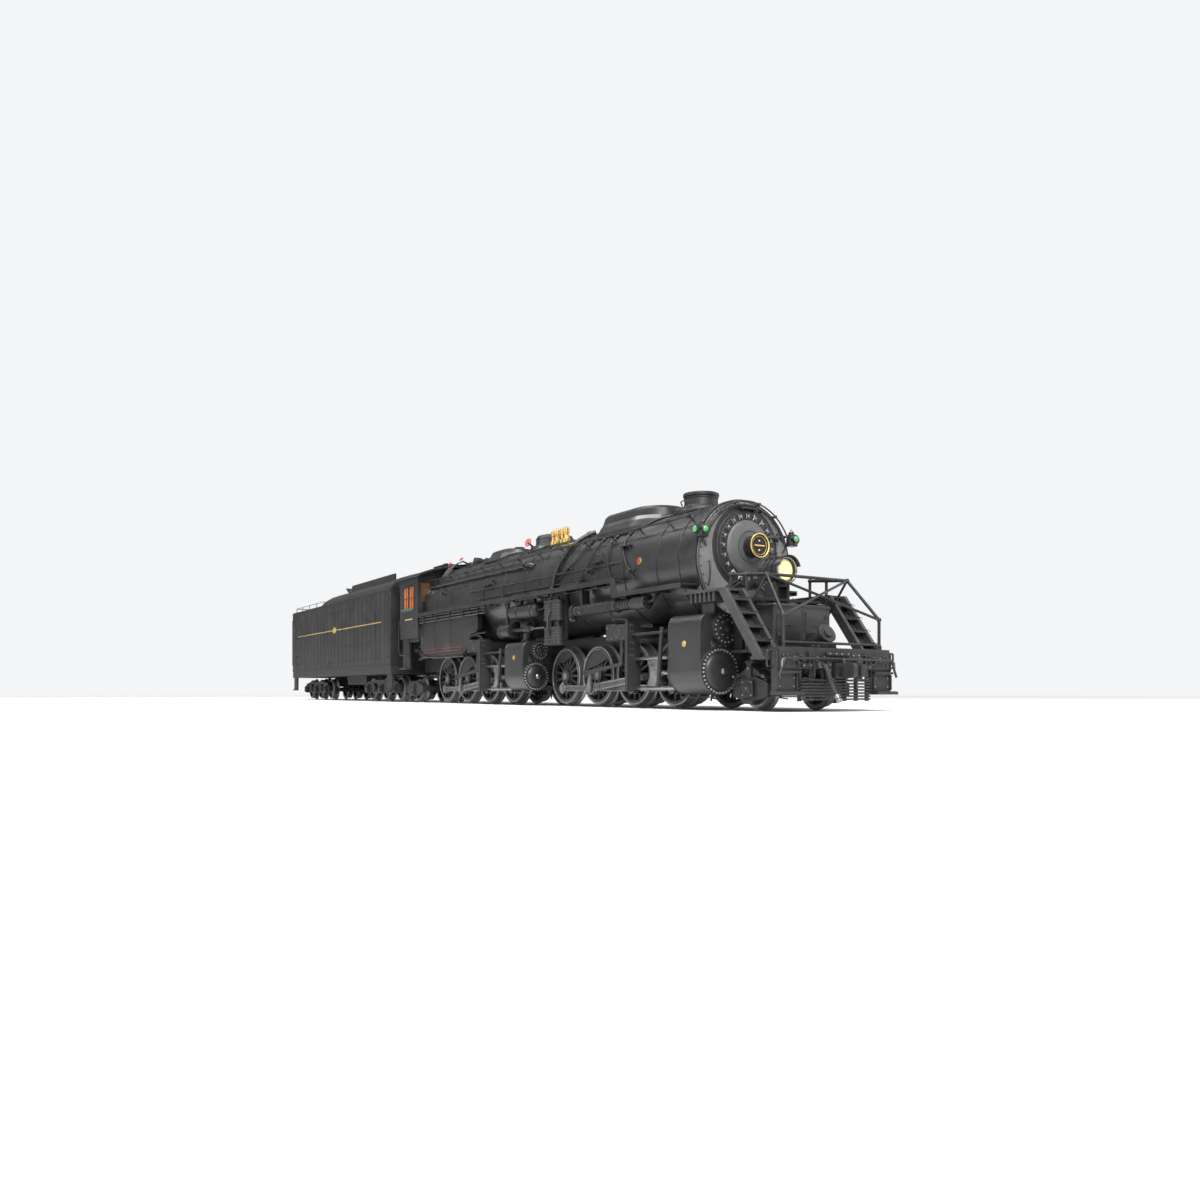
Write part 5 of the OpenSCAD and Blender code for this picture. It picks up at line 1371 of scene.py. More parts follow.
@part(FRONT, "graphite_dark")
def pilot_rivets(add):
    for side in SIDES:
        for k in range(12):
            y = side * (1.6 + k * 2.6)
            add.rivet((BEAM_X, y, 24.0), FORWARD, 0.24)
            if k > 1:
                add.rivet((BEAM_X, y, 17.5), FORWARD, 0.24)
        for k in range(4):
            column, row = k % 2, k // 2
            add.bolt((BEAM_X, side * (5.8 + column * 1.5), 18.6 + row * 3.2), FORWARD, 0.45, 0.45)
            add.bolt((BEAM_X, side * (27 + column * 2.2), 18.8 + row * 3.4), FORWARD, 0.42, 0.4)
        add.rivet_line((314, side * 23.2, DECK_Z), (345, side * 23.2, DECK_Z), 18, UP, 0.24)
    add.rivet_line((348.3, -22.5, DECK_Z), (348.3, 22.5, DECK_Z), 26, UP, 0.24)


@pair(FRONT, "weathered_black")
def pilot_tread(add, side):
    for i in range(15):
        for k in range(7):
            x = 330.5 + i * 1.1
            y = side * (5.4 + k * 2.5 + (0.6 if i % 2 else 0))
            slant = side * (0.5 if (i + k) % 2 else -0.5)
            add.tube([(x - 0.35, y - slant, 25.42), (x + 0.35, y + slant, 25.42)], 0.12, 5)


@part(FRONT, "graphite_dark")
def pilot_casting_bolts(add):
    add.bolts_round((341, 0, 26.3), UP, 4.5, 10, 0.36, 0.45)


@part(FRONT, "graphite")
def cut_lever_chain(add):
    for i in range(6):
        add.torus((352.4 + 0.1 * i, 0.6, 20.6 - i * 0.75), ACROSS if i % 2 else FORWARD,
                  0.42, 0.12, 14, 6)
    for side in SIDES:
        for y in (12, 24):
            add.torus((350.1, side * y, 21), ACROSS, 0.72, 0.22, 16)
        add.pipe([(350.9, side * 29.8, 21), (351.2, side * 31.6, 20.4), (351.3, side * 31.8, 17.6)],
                 0.3, rounds=1)


HOSE = smooth_path([(349.2, -9.2, 18.8), (351.2, -9.2, 18.6), (352.8, -9.2, 16.6),
                    (353.4, -8.6, 13.2), (354.2, -7.4, 9.2), (355.4, -6.6, 6.2)], 2)


@part(FRONT, "rubber_hose")
def air_hose(add):
    add.tube(HOSE, 0.95, 12)


@part(FRONT, "bright_steel")
def air_hose_ends(add):
    add.lathe((348.9, -9.2, 18.8), FORWARD, [(1.4, 0), (1.4, 0.6), (0.8, 0.8), (0.8, 1.6)], 16)
    along = (HOSE[-1] - HOSE[-2]).normalized()
    add.lathe(HOSE[-1] - along * 0.6, along,
              [(1.15, 0), (1.25, 0.4), (1.25, 1.4), (0.9, 1.6), (1.3, 2.0), (1.3, 3.0),
               (0.6, 3.3)], 16)
    add.torus(HOSE[3], HOSE[4] - HOSE[3], 0.95, 0.2, 18, 6)


@part(FRONT, "lamp_black")
def pilot_air_cock(add):
    add.cyl((348.9, -9.2, 20.2), (350.4, -9.2, 20.2), 0.7, 12)
    add.tube([(350.2, -9.2, 20.2), (350.6, -11.2, 20.6)], 0.25, 6)
    # poling pockets, and a grab iron on the left
    for y in (-20.4, 20.4):
        add.lathe((BEAM_X, y, 20.6), FORWARD,
                  [(1.9, -0.05), (1.9, 0.5), (1.3, 0.7), (1.2, 0.25)], 24)
    add.pipe([(BEAM_X, 13.8, 22.8), (350.2, 13.8, 22.8), (350.2, 18.4, 22.8),
              (BEAM_X, 18.4, 22.8)], 0.22, rounds=1)


@pair(FRONT, "wire_rail")
def beam_loops(add, side):
    # (y, z) of the stirrup off the beam's end, then of the loop on top
    stirrup = ((30.8, 24.0), (35.2, 24.0), (35.6, 23.6), (35.6, 18.2), (35.2, 17.8), (32.2, 17.8))
    add.pipe([(347.0, side * y, z) for y, z in stirrup], 0.42, rounds=1)
    loop = ((30.9, 25.3), (30.9, 27.8), (28.0, 27.8), (28.0, 25.3))
    add.pipe([(344.6, side * y, z) for y, z in loop], 0.3, rounds=1)


@pair(FRONT, "weathered_black")
def side_step_treads(add, side):
    for i in range(14):
        y = side * (21.0 + i * 0.86)
        add.tube([(348.7, y, 8.06), (351.7, y, 8.06)], 0.13, 5)
        add.tube([(348.6, y, 16.06), (350.1, y, 16.06)], 0.12, 5)
    for y in (21.3, 31.7):
        add.box((348.35, side * y, 8.6), (349.3, side * (y + 0.6), 15.0), 0.12)
        add.box((348.35, side * y, 16.4), (349.0, side * (y + 0.6), 23.6), 0.12)


@pair(FRONT, "bolt_metal")
def side_step_bolts(add, side):
    for y in (23.0, 30.4):
        for z in (10.0, 13.6, 18.0, 22.6):
            add.bolt((348.4, side * y, z), FORWARD, 0.34, 0.35)


@part(FRONT, "weathered_black")
def draft_gear_casting(add):
    x = BEAM_X - 0.1
    add.box((x, -6.6, 19.6), (350.3, 6.6, 20.3), 0.15)
    add.box((x, -6.6, 22.4), (350.3, 6.6, 23.6), 0.2)
    for side in SIDES:
        add.box((x, side * 3.7, 13.4), (350.3, side * 6.6, 19.8), 0.2)
        add.prism([(x, 13.6), (350.1, 13.6), (x, 10.6)], side * 4.6, side * 5.3)
        if side > 0:
            add.box((x, 8.2, 17.4), (349.5, 13.0, 23.4), 0.15)
        add.box((x, side * 14.2, 17.4), (349.6, side * 19.4, 19.2), 0.15)
        add.box((x, side * 15.4, 17.2), (350.2, side * 16.2, 23.6), 0.15)


@part(FRONT, "bolt_metal")
def draft_gear_bolts(add):
    for side in SIDES:
        for z in (14.4, 16.4, 18.6):
            add.bolt((350.25, side * 5.2, z), FORWARD, 0.4, 0.35)
        for y in (1.6, 5.2):
            add.bolt((350.25, side * y, 23.0), FORWARD, 0.36, 0.32)
        for y in (14.9, 18.6):
            add.bolt((349.55, side * y, 18.3), FORWARD, 0.34, 0.3)
    for y, z in ((9.0, 18.3), (12.2, 18.3), (9.0, 22.6), (12.2, 22.6)):
        add.bolt((349.45, y, z), FORWARD, 0.34, 0.3)


@part(FRONT, "wire_rail")
def pilot_pipes(add):
    add.pipe([(349.2, 9.6, 20.4), (350.6, 9.6, 20.2), (350.9, 9.6, 16), (350.2, 10.2, 11.6),
              (349.4, 10.6, 9.6)], 0.5, 10)
    add.pipe([(349.0, -14.0, 20.0), (350.4, -14.0, 19.6), (350.4, -13.6, 15.2),
              (349.5, -13.2, 13.2)], 0.38)
    add.pipe([(349.3, -19.0, 13.4), (350.0, -12, 12.6), (350.0, 12, 12.6), (349.3, 19.0, 13.4)],
             0.3)


# ================================================================== front deck and stairs
@part(FRONT, "satin_black")
def deck_box(add):
    add.box((318.2, -16, DECK_Z), (330, 16, 44.5), 0.5)
    add.box((317.9, -16.3, 43.2), (330.3, 16.3, 44.2), 0.3)
    for y in (-8.2, 8.2):
        add.box((330.0, y - 6.6, 28), (330.35, y + 6.6, 41.4), 0.15)


@part(FRONT, "graphite_dark")
def deck_box_trim(add):
    x = 330.05
    for side in SIDES:
        for y in (side * 15.4, side * 0.6):
            add.rivet_line((x, y, 26.6), (x, y, 42.6), 15, FORWARD, 0.24)
        for edge_x in (319.2, 329.2):
            add.rivet_line((edge_x, side * 16, 27), (edge_x, side * 16, 42.4), 12, (0, side, 0),
                           0.24)
        y = side * 8.2
        add.tube([(330.35, y - 2, 35.6), (331.1, y - 2, 35.6), (331.1, y + 2, 35.6),
                  (330.35, y + 2, 35.6)], 0.22)
        y = side * (8.2 + 5.4)
        for z in (30.5, 39):
            add.box((330.3, y - 0.9, z), (330.75, y + 0.9, z + 1.6), 0.1)
    for z in (26.2, 42.8):
        add.rivet_line((x, -15.2, z), (x, 15.2, z), 24, FORWARD, 0.24)


STAIRS = [(323 + 4.4 * i, 45.2 - 5.8 * i) for i in range(4)]  # rear x and z of each tread


@pair(FRONT, "weathered_black")
def stair_treads_grid(add, side):
    for x, z in STAIRS:
        for k in range(9):
            y = side * (26.2 + k * 0.86)
            add.tube([(x + 0.25, y, z + 0.95), (x + 4.6, y, z + 0.95)], 0.13, 5)
    for i in range(11):
        for k in range(4):
            x, y = 296 + i * 2.2, side * (25.8 + k * 2.4)
            add.tube([(x - 0.4, y - 0.45, 50.66), (x + 0.4, y + 0.45, 50.66)], 0.14, 5)
    for i in range(4):
        for k in range(9):
            x, y = 338 + i * 1.7, 10.4 + k * 2.7
            add.tube([(x, side * y, 21.86), (x + 0.7, side * (y + 0.8), 21.86)], 0.13, 5)


@pair(FRONT, "graphite_dark")
def stair_rivets(add, side):
    y, axis = side * 35.0, (0, side, 0)
    for x, z in STAIRS:
        for dx in (0.8, 3.2):
            add.rivet((x + dx, y, z + 0.5), axis, 0.26)
    add.rivet_line((296, y, 50.1), (318, y, 50.1), 12, axis, 0.2)


# ================================================================== headlight
HEADLIGHT_X = node_box("headlight")[1].x
HEADLIGHT_Z = 60.0
HEADLIGHT_RADIUS = 5.9


@part(FRONT, "lamp_lens")
def headlight_lens(add):
    add.lathe((318.3, 0, HEADLIGHT_Z), FORWARD,
              [(4.75, 0), (4.75, 0.7), (4.4, 1.05), (3.6, 1.45), (2.4, 1.75), (1.2, 1.9),
               (0.2, 1.94)], 48)


@part(FRONT, "bright_steel")
def headlight_rim(add):
    add.torus((HEADLIGHT_X - 0.05, 0, HEADLIGHT_Z), FORWARD, 5.35, 0.42, 64, 10)
    add.torus((318.9, 0, HEADLIGHT_Z), FORWARD, 4.78, 0.18, 56, 6)


@part(FRONT, "lamp_black")
def headlight_fittings(add):
    x, z, r = HEADLIGHT_X, HEADLIGHT_Z, HEADLIGHT_RADIUS
    # visor over the lens
    lip, root = x + 2.0, x - 1.2
    add.skin([[clock(lip, z, r, a), clock(root, z, r, a), clock(root, z, r * 1.06, a),
               clock(lip, z, r * 1.06, a)] for a in range(-75, 76, 5)])
    for degrees in range(22, 360, 45):
        add.bolt(clock(x - 0.2, z, r, degrees), FORWARD, 0.28, 0.35)
    for band_x in (310.6, 313.6, 316.6):
        add.torus((band_x, 0, z), FORWARD, 5.95, 0.24, 56)
    add.lathe((312.5, 0, z + 5.8), UP,
              [(1.9, 0), (1.9, 0.8), (1.3, 1.2), (1.3, 1.9), (1.8, 2.1), (1.2, 2.7)], 24)
    add.box((309.6, -6.6, z - 1), (313, -5.8, z + 1.5), 0.15)
    for side in SIDES:
        for bolt_x in (311.2, 318.6):
            add.bolt((bolt_x, side * 5.2, 47.6), UP, 0.5, 0.5)
        add.rivet_line((311, side * 23.2, 47.6), (319.4, side * 23.2, 47.6), 6, UP, 0.22)
    add.pipe([(309.6, 3.2, z - 4.6), (308.2, 3.6, 52), (310.5, 4.4, 48.6), (312, 4.8, 47.7)], 0.4)
    add.pipe([(309.2, -3.2, z - 4), (305.4, -4, 58), (301.6, -6, 53), (300.4, -9.5, 47)], 0.35)


@part(FRONT, "graphite_dark")
def shelf_rivets(add):
    add.rivet_line((320.0, -22.6, 47.0), (320.0, 22.6, 47.0), 24, FORWARD, 0.22)
    for y in (-19.5, 19.5):
        for z in (30, 35, 40, 44):
            add.rivet((317.05, y, z), FORWARD, 0.24)


# ================================================================== driving wheels and rods
CRANK = 7
MAIN_ROD = 62.6
CRANKS = (("right", -1, -75.0), ("left", 1, 15.0))  # name, side, crank angle
MAIN_PIN = 2  # index of the axle that takes the main rod


def driver_details(kind, i):
    center = joint("%s_axle_%d_spin" % (kind, i + 1))
    body = "drivers_%s_%d" % (kind, i + 1)
    prefix = "driver_%s_%d_" % (kind, i + 1)

    @part(body, "graphite", prefix)
    def hubs(add):
        for _, side, degrees in CRANKS:
            dx, dz = polar(CRANK, degrees)
            x, z, axis = center.x + dx, center.z + dz, (0, side, 0)
            add.lathe((center.x, side * 20.2, center.z), axis,
                      [(2.0, -0.35), (2.0, -0.1), (0.6, 0.0), (0.45, -0.12), (0.05, -0.2)], 24)
            if i == MAIN_PIN:
                for a in range(45, 360, 90):
                    dx, dz = polar(1.2, a)
                    add.bolt((x + dx, side * 26.65, z + dz), axis, 0.28, 0.3)
                continue
            add.bolt((x, side * 23.2, z), axis, 1.25, 0.34, stud=False)
            if kind == "rear" and i != 3:
                add.cyl((x, side * 23.4, z), (x, side * 23.8, z), 0.5, 12, 0.06)

    @pair(body, "bright_steel", prefix)
    def rings(add, side):
        add.torus((center.x, side * 19.82, center.z), ACROSS, 13.62, 0.13, 84, 6)


def rod_details(kind, axle, tag, side, degrees):
    pin_dx, pin_dz = polar(CRANK, degrees)
    pin_z = axle.z + pin_dz
    ending = "_%s_%s" % (kind, tag)
    axis = (0, side, 0)

    @part("side_rod" + ending, "bright_steel", "side_rod" + ending + "_")
    def fittings(add):
        for i in range(4):
            if i != MAIN_PIN:
                add.torus((axle.x - i * PITCH + pin_dx, side * 22.82, pin_z), ACROSS,
                          2.55, 0.16, 40, 6)
        for i in range(3):
            x = axle.x - i * PITCH + pin_dx
            # raised lips along the fluted rod
            for z in (pin_z - 1.35, pin_z + 1.35):
                add.box((x - PITCH + 4.3, side * 22.74, z - 0.18),
                        (x - 4.3, side * 22.94, z + 0.18), 0.05)

    @part("main_rod" + ending, "bright_steel", "main_rod" + ending + "_")
    def fittings(add):
        big_end = Vector((axle.x - MAIN_PIN * PITCH + pin_dx, side * 25.1, pin_z))
        along = Vector((math.sqrt(MAIN_ROD ** 2 - pin_dz ** 2), 0, -pin_dz)).normalized()
        normal = Vector((-along.z, 0, along.x))
        for offset in (1.25, -1.25):
            for t in (5.2, 7.6):
                add.bolt(big_end + along * t + normal * offset, axis, 0.42, 0.22, stud=False)
        for edge in SIDES:
            add.tube([big_end + along * 10.5 + normal * 1.45 * edge,
                      big_end + along * 56.5 + normal * 1.15 * edge], 0.2, 6)
        add.torus(big_end, ACROSS, 2.95, 0.16, 40, 6)
        add.torus(big_end + along * MAIN_ROD, ACROSS, 2.0, 0.14, 30, 6)

    @part("crosshead" + ending, "graphite", "crosshead" + ending + "_")
    def bolts(add):
        x = axle.x + (-2.6 if tag == "right" else 2.7)
        add.bolt((x, side * 29.38, AXLE_Z), axis, 1.2, 0.5)


for kind in ENGINES:
    for i in range(4):
        driver_details(kind, i)
for kind, axle in ENGINES.items():
    for crank in CRANKS:
        rod_details(kind, axle, *crank)


# ================================================================== carrying trucks
def journal_face(add, x, y, z, side):
    """Journal box lid with its hinge, latch and four bolts, on the face at y."""
    w, h = 2.6, 2.9
    face = y + side * 0.3
    add.box((x - w * 0.78, y, z - h * 0.72), (x + w * 0.78, face, z + h * 0.6), 0.1)
    hinge_y = y + side * 0.35
    add.tube([(x - 1.1, hinge_y, z + h * 0.66), (x + 1.1, hinge_y, z + h * 0.66)], 0.26)
    add.tube([(x, hinge_y, z - h * 0.5), (x, y + side * 0.75, z - h * 0.72)], 0.18, 6)
    for dx in (-w * 0.6, w * 0.6):
        for dz in (-h * 0.5, h * 0.42):
            add.bolt((x + dx, face, z + dz), (0, side, 0), 0.22, 0.25)


PONY = joint("pony_axle_spin")


def single_truck(tag, center, lid_y, rivet_y, ring_radius):
    body, prefix = tag + "_truck", tag + "_truck_"

    @pair(body, "weathered_black", prefix)
    def fittings(add, side):
        journal_face(add, center.x, side * lid_y, center.z, side)
        if tag == "pony":
            for dx in (-6.6, 6.6):
                add.coil(center.x + dx, side * 22.3, 9.4, 13.9, 1.25, 0.3, count=3.5, sides=14)
        for dx in (-8.5, -4.8, 4.8, 8.5):
            z = center.z + (3.6 if abs(dx) > 6 else -3.2)
            add.rivet((center.x + dx, side * rivet_y, z), (0, side, 0), 0.3)

    @pair(body, "graphite", prefix)
    def bolts(add, side):
        add.bolt((center.x, side * (lid_y + 0.3), center.z + 0.2), (0, side, 0), 0.55, 0.35)

    @pair(tag + "_wheels", "bright_steel", tag + "_")
    def wheel_details(add, side):
        add.torus((center.x, side * 19.75, center.z), ACROSS, ring_radius, 0.12, 64, 6)


single_truck("pony", PONY, lid_y=24.6, rivet_y=23.4, ring_radius=6.45)
single_truck("trailing", joint("trailing_axle_spin"), lid_y=25.0, rivet_y=23.6, ring_radius=7.5)


@pair("pony_truck", "weathered_black")
def pony_truck_springs(add, side):
    x, y = PONY.x, side * 22.6
    add.leaf_spring(x, y, 15.0, half=9.4, shorter=1.5, step=0.78, droop=1.3, radius=0.5, sides=6)
    add.box((x - 1.5, side * 21.6, 13.8), (x + 1.5, side * 23.9, 20.4), 0.25)
    add.box((x - 2.6, side * 21.9, 19.8), (x + 2.6, side * 23.7, 20.8), 0.2)
    for end in (x - 9.2, x + 9.2):
        add.tube([(end, y, 9.4), (end, y, 14.6)], 0.62)
        add.cyl((end, side * 21.2, 14.2), (end, side * 24.0, 14.2), 0.8, 12)
    add.prism([(x - 4.2, 4.6), (x - 2.6, 2.9), (x + 2.6, 2.9), (x + 4.2, 4.6)],
              side * 22.0, side * 24.4)


@pair("pony_truck", "bolt_metal")
def pony_truck_studs(add, side):
    axis = (0, side, 0)
    for dx in (-2.6, 2.6):
        for z in (6.6, 11.9):
            add.bolt((PONY.x + dx, side * 24.55, z), axis, 0.36, 0.35)
    for dx in (-9.2, 9.2):
        add.bolt((PONY.x + dx, side * 24.0, 14.2), axis, 0.5, 0.3)
    add.bolt((PONY.x, side * 23.9, 17.6), axis, 0.6, 0.4)


def tender_truck(tag, body, x0, wheels):
    prefix = "tender_truck_%s_" % tag
    axle_z = 10.2
    axle_xs = (x0 - 32, x0, x0 + 32)

    @pair(body, "weathered_black", prefix)
    def springs(add, side):
        for dx in (-16, 16):
            for k in (-2.0, 2.0):
                add.coil(x0 + dx + k, side * 23.4, 7.6, 13.0, 1.35, 0.34, count=4, sides=12)

    @pair(body, "black_plastic", prefix)
    def journals(add, side):
        for x in axle_xs:
            journal_face(add, x, side * 26.0, axle_z, side)
        for dx in (-36.5, -27.5, -24.5, -20.5, -11.5, -4.6, 4.6, 11.5, 20.5, 24.5, 27.5, 36.5):
            add.bolt((x0 + dx, side * 23.55, 15.6), (0, side, 0), 0.42, 0.35)
        for dx in (-21.6, -10.4, 10.4, 21.6):
            add.bolt((x0 + dx, side * 23.55, 8.0), (0, side, 0), 0.4, 0.35)

    @part(body, "weathered_black", prefix)
    def brakes(add):
        for x in axle_xs:
            for end in (-1, 1):
                shoe = arc(x, axle_z, 11.1, range(-26, 15, 5), end)
                shoe += arc(x, axle_z, 9.35, range(14, -27, -5), end)
                for side in SIDES:
                    add.prism(shoe, side * 16.2, side * 18.9)
                add.tube([(x + end * 11.0, -18.6, 8.4), (x + end * 11.0, 18.6, 8.4)], 0.5)

    for number in wheels:
        center = joint("tender_axle_%d_spin" % number)

        @pair("tender_wheels_%d" % number, "bright_steel", "tender_wheel_%d_" % number)
        def details(add, side):
            add.torus((center.x, side * 19.75, center.z), ACROSS, 7.5, 0.12, 64, 6)


tender_truck("front", "tender_truck_a", -118, wheels=(1, 2, 3))
tender_truck("rear", "tender_truck_b", -301, wheels=(4, 5, 6))


# ================================================================== drawbar and couplers
@part("drawbar", "graphite")
def drawbar_fittings(add):
    for name in ("drawbar_swing", "tender_swing"):
        add.torus((joint(name).x, 0, 18.0), UP, 2.55, 0.18, 36, 6)


@part(LOCO, "rubber_hose")
def cab_tender_hoses(add):
    for y in (-14, -8.5, 9, 15):
        add.pipe([(-50.4, y, 40.5), (-54, y, 38), (-57, y, 33.5), (-60.5, y, 31.8),
                  (-63.6, y, 32.2)], 0.8, 10)


@part("rear_coupler", "graphite")
def rear_coupler_fittings(add):
    add.lathe((-358.2, 3.4, 20.0), UP, [(1.0, -0.2), (1.0, 0.5), (0.7, 0.8), (0.2, 0.9)], 16)


@pair(TENDER, "wire_rail")
def rear_uncoupling_gear(add, side):
    add.pipe([(-350.4, side * 4.5, 23.8), (-351.2, side * 6, 24.4), (-351.2, side * 27, 24.4),
              (-351.2, side * 29, 23), (-351.2, side * 29.4, 19.2)], 0.32, rounds=1)
    for y in (side * 9, side * 25):
        add.box((-351.5, y - 0.5, 23.6), (-348.9, y + 0.5, 25.0), 0.1)


@part(TENDER, "rubber_hose")
def rear_air_hose(add):
    add.pipe([(-349.2, 10, 22.2), (-351.4, 10, 22), (-353, 10, 18.6), (-353.6, 9.2, 13.2),
              (-354.8, 8.4, 8.6)], 0.9, 12)


# ================================================================== tender
REAR_X, NOSE_X = TANK_LOW.x, TANK_HIGH.x
WALL_Y = 34.0
SEAM_XS = [REAR_X + 2.2 + i * (NOSE_X - REAR_X - 4.4) / 26 for i in range(27)]
END_SEAM_YS = [-30 + i * 7.5 for i in range(9)]
EDGE_ZS = (28.2, 84.2)


# The seam strips are painted near-black: painted shadow of the groove along each seam.
@part(TENDER, "seam_black")
def tender_seams(add):
    for side in SIDES:
        inner = side * (WALL_Y - 0.1)
        for x in SEAM_XS:
            add.box((x - 0.55, inner, 27.6), (x + 0.55, side * (WALL_Y + 0.16), 84.6), 0.06)
        for z in EDGE_ZS:
            add.box((REAR_X + 1, inner, z - 0.55), (NOSE_X - 1, side * (WALL_Y + 0.24), z + 0.55),
                    0.08)
    for y in END_SEAM_YS:
        add.box((REAR_X - 0.16, y - 0.5, 27.6), (REAR_X + 0.1, y + 0.5, 84.0), 0.06)


@part(TENDER, "black_plastic")
def tender_rivets(add):
    for side in SIDES:
        y, axis = side * WALL_Y, (0, side, 0)
        for seam_x in SEAM_XS:
            for x in (seam_x - 0.95, seam_x + 0.95):
                add.rivet_line((x, y, 28.4), (x, y, 84), 34, axis, 0.17)
        y = side * (WALL_Y + 0.24)
        for z in EDGE_ZS:
            add.rivet_line((REAR_X + 1.6, y, z), (NOSE_X - 1.6, y, z), 90, axis, 0.19)
    for seam_y in END_SEAM_YS:
        for y in (seam_y - 0.9, seam_y + 0.9):
            add.rivet_line((REAR_X, y, 28.4), (REAR_X, y, 83.6), 30, BACK, 0.17)


# a plain gold line broken by a diamond
@pair(TENDER, "gold_line")
def tender_gold_line(add, side):
    for x0, x1 in ((-330, -219), (-201, -90)):
        add.box((x0, side * (WALL_Y + 0.1), 61.1), (x1, side * (WALL_Y + 0.42), 61.9), 0.1)
    add.prism([(-217, 61.5), (-210, 64.4), (-203, 61.5), (-210, 58.6)],
              side * (WALL_Y + 0.05), side * (WALL_Y + 0.4))


# The lap seam strips are painted near-black: painted shadow of the groove along each seam.
@pair(TENDER, "seam_black")
def tender_lap_seams(add, side):
    inner, outer = side * (WALL_Y - 0.1), side * (WALL_Y + 0.3)
    for x0, x1, z in ((-236, -160, 77.6), (-222, -92, 46.8), (-232, -96, 33.6)):
        add.box((x0, inner, z - 0.45), (x1, outer, z + 0.45), 0.1)
    add.box((-105, inner, 46.8), (-104.2, outer, 70), 0.1)


@part(TENDER, "wire_rail")
def tender_grabs(add):
    rail_y, rail_z = 31, 90.4
    for side in SIDES:
        wall, out = side * (WALL_Y - 0.2), side * (WALL_Y + 1.5)
        for x in (-72.4, -345.4):
            add.tube([(x, wall, 34), (x, out, 34), (x, out, 78), (x, wall, 78)], 0.36)
        out = side * (WALL_Y + 1.4)
        for k in range(5):
            z = 34 + k * 8.5
            add.tube([(-338.4, wall, z), (-338.4, out, z), (-331.4, out, z), (-331.4, wall, z)],
                     0.3)
        # rear deck hand rail
        y = side * rail_y
        add.tube([(-252, y, 86), (-252, y, rail_z), (-346, y, rail_z), (-346, y, 86)], 0.34)
        for x in (-276, -300, -324):
            add.tube([(x, y, 85.8), (x, y, rail_z)], 0.3)
    add.tube([(-346, -rail_y, rail_z), (-346, -14, rail_z)], 0.34)
    add.tube([(-346, 14, rail_z), (-346, rail_y, rail_z)], 0.34)


@part(TENDER, "satin_black")
def tender_deck_fittings(add):
    # round hatch, its clamp and handle
    hatch_x = -290
    for degrees in range(0, 360, 45):
        dx, y = polar(6.6, degrees)
        add.rivet((hatch_x + dx, y, 88.6), UP, 0.35)
    add.box((-283.4, -1.2, 86.0), (-281.4, 1.2, 89.4), 0.2)
    add.tube([(-293.5, -2, 88.5), (-293.5, -2, 90), (-293.5, 2, 90), (-293.5, 2, 88.5)], 0.26)
    for y in (-9, 9):
        add.box((-317.2, y - 1, 86.0), (-315.2, y + 1, 89.2), 0.2)
    # raised tread pattern, left clear round the hatches
    for i in range(34):
        for k in range(-10, 11):
            x, y = -346 + i * 2.8, k * 2.9
            on_round_hatch = (x - hatch_x) ** 2 + y * y < 70
            on_square_hatch = -331.5 < x < -314.5 and abs(y) < 14
            if (i + k) % 2 and not on_round_hatch and not on_square_hatch:
                add.tube([(x - 0.45, y - 0.45, 86.06), (x + 0.45, y + 0.45, 86.06)], 0.12, 4)
    add.rivet_line((-247.5, -20, 94.02), (-247.5, 20, 94.02), 18, UP, 0.25)


REAR_LAMP_Z = 80.4


@part(TENDER, "lamp_black")
def rear_lamp_body(add):
    add.lathe((-348.9, 0, REAR_LAMP_Z), BACK,
              [(3.0, -0.1), (3.4, 0.3), (3.4, 4.2), (3.75, 4.5), (3.75, 5.4), (3.2, 5.6),
               (3.0, 4.8)], 40)
    add.torus((-351, 0, REAR_LAMP_Z), FORWARD, 3.42, 0.16, 36, 6)


@part(TENDER, "lamp_halo")
def rear_lamp_lens(add):
    add.lathe((-353.4, 0, REAR_LAMP_Z), BACK,
              [(2.95, 0), (2.95, 0.3), (2.2, 0.6), (1, 0.85), (0.1, 0.9)], 32)


@pair(TENDER, "weathered_black")
def tender_frame_rivets(add, side):
    # ridges on the corner steps
    for z in (10.4, 15.9):
        for step_x in (-75, -343):
            for i in range(3):
                x = step_x - 4 + i * 3.2
                add.tube([(x, side * 31.7, z), (x + 1, side * 34.1, z)], 0.12, 5)


# ================================================================== coal
GOLDEN = (1 + math.sqrt(5)) / 2
ICOSAHEDRON_POINTS = [
    (-1, GOLDEN, 0), (1, GOLDEN, 0), (-1, -GOLDEN, 0), (1, -GOLDEN, 0),
    (0, -1, GOLDEN), (0, 1, GOLDEN), (0, -1, -GOLDEN), (0, 1, -GOLDEN),
    (GOLDEN, 0, -1), (GOLDEN, 0, 1), (-GOLDEN, 0, -1), (-GOLDEN, 0, 1)]
ICOSAHEDRON_FACES = [
    (0, 11, 5), (0, 5, 1), (0, 1, 7), (0, 7, 10), (0, 10, 11), (1, 5, 9), (5, 11, 4),
    (11, 10, 2), (10, 7, 6), (7, 1, 8), (3, 9, 4), (3, 4, 2), (3, 2, 6), (3, 6, 8), (3, 8, 9),
    (4, 9, 5), (2, 4, 11), (6, 2, 10), (8, 6, 7), (9, 8, 1)]
uniform = random.uniform
random.seed(11)


def lump(add, center, radius):
    """A jittered, stretched and turned icosahedron."""
    angle = uniform(0, 6.28)
    axis = Vector((uniform(-1, 1), uniform(-1, 1), uniform(-1, 1))).normalized()
    turn = Matrix.Rotation(angle, 3, axis)
    stretch = (uniform(0.75, 1.3), uniform(0.75, 1.3), uniform(0.6, 1.05))
    points = []
    for corner in ICOSAHEDRON_POINTS:
        point = Vector(corner).normalized() * radius * uniform(0.78, 1.15)
        points.append(Vector(center) + turn @ (point * Vector(stretch)))
    add.shape(points, ICOSAHEDRON_FACES)


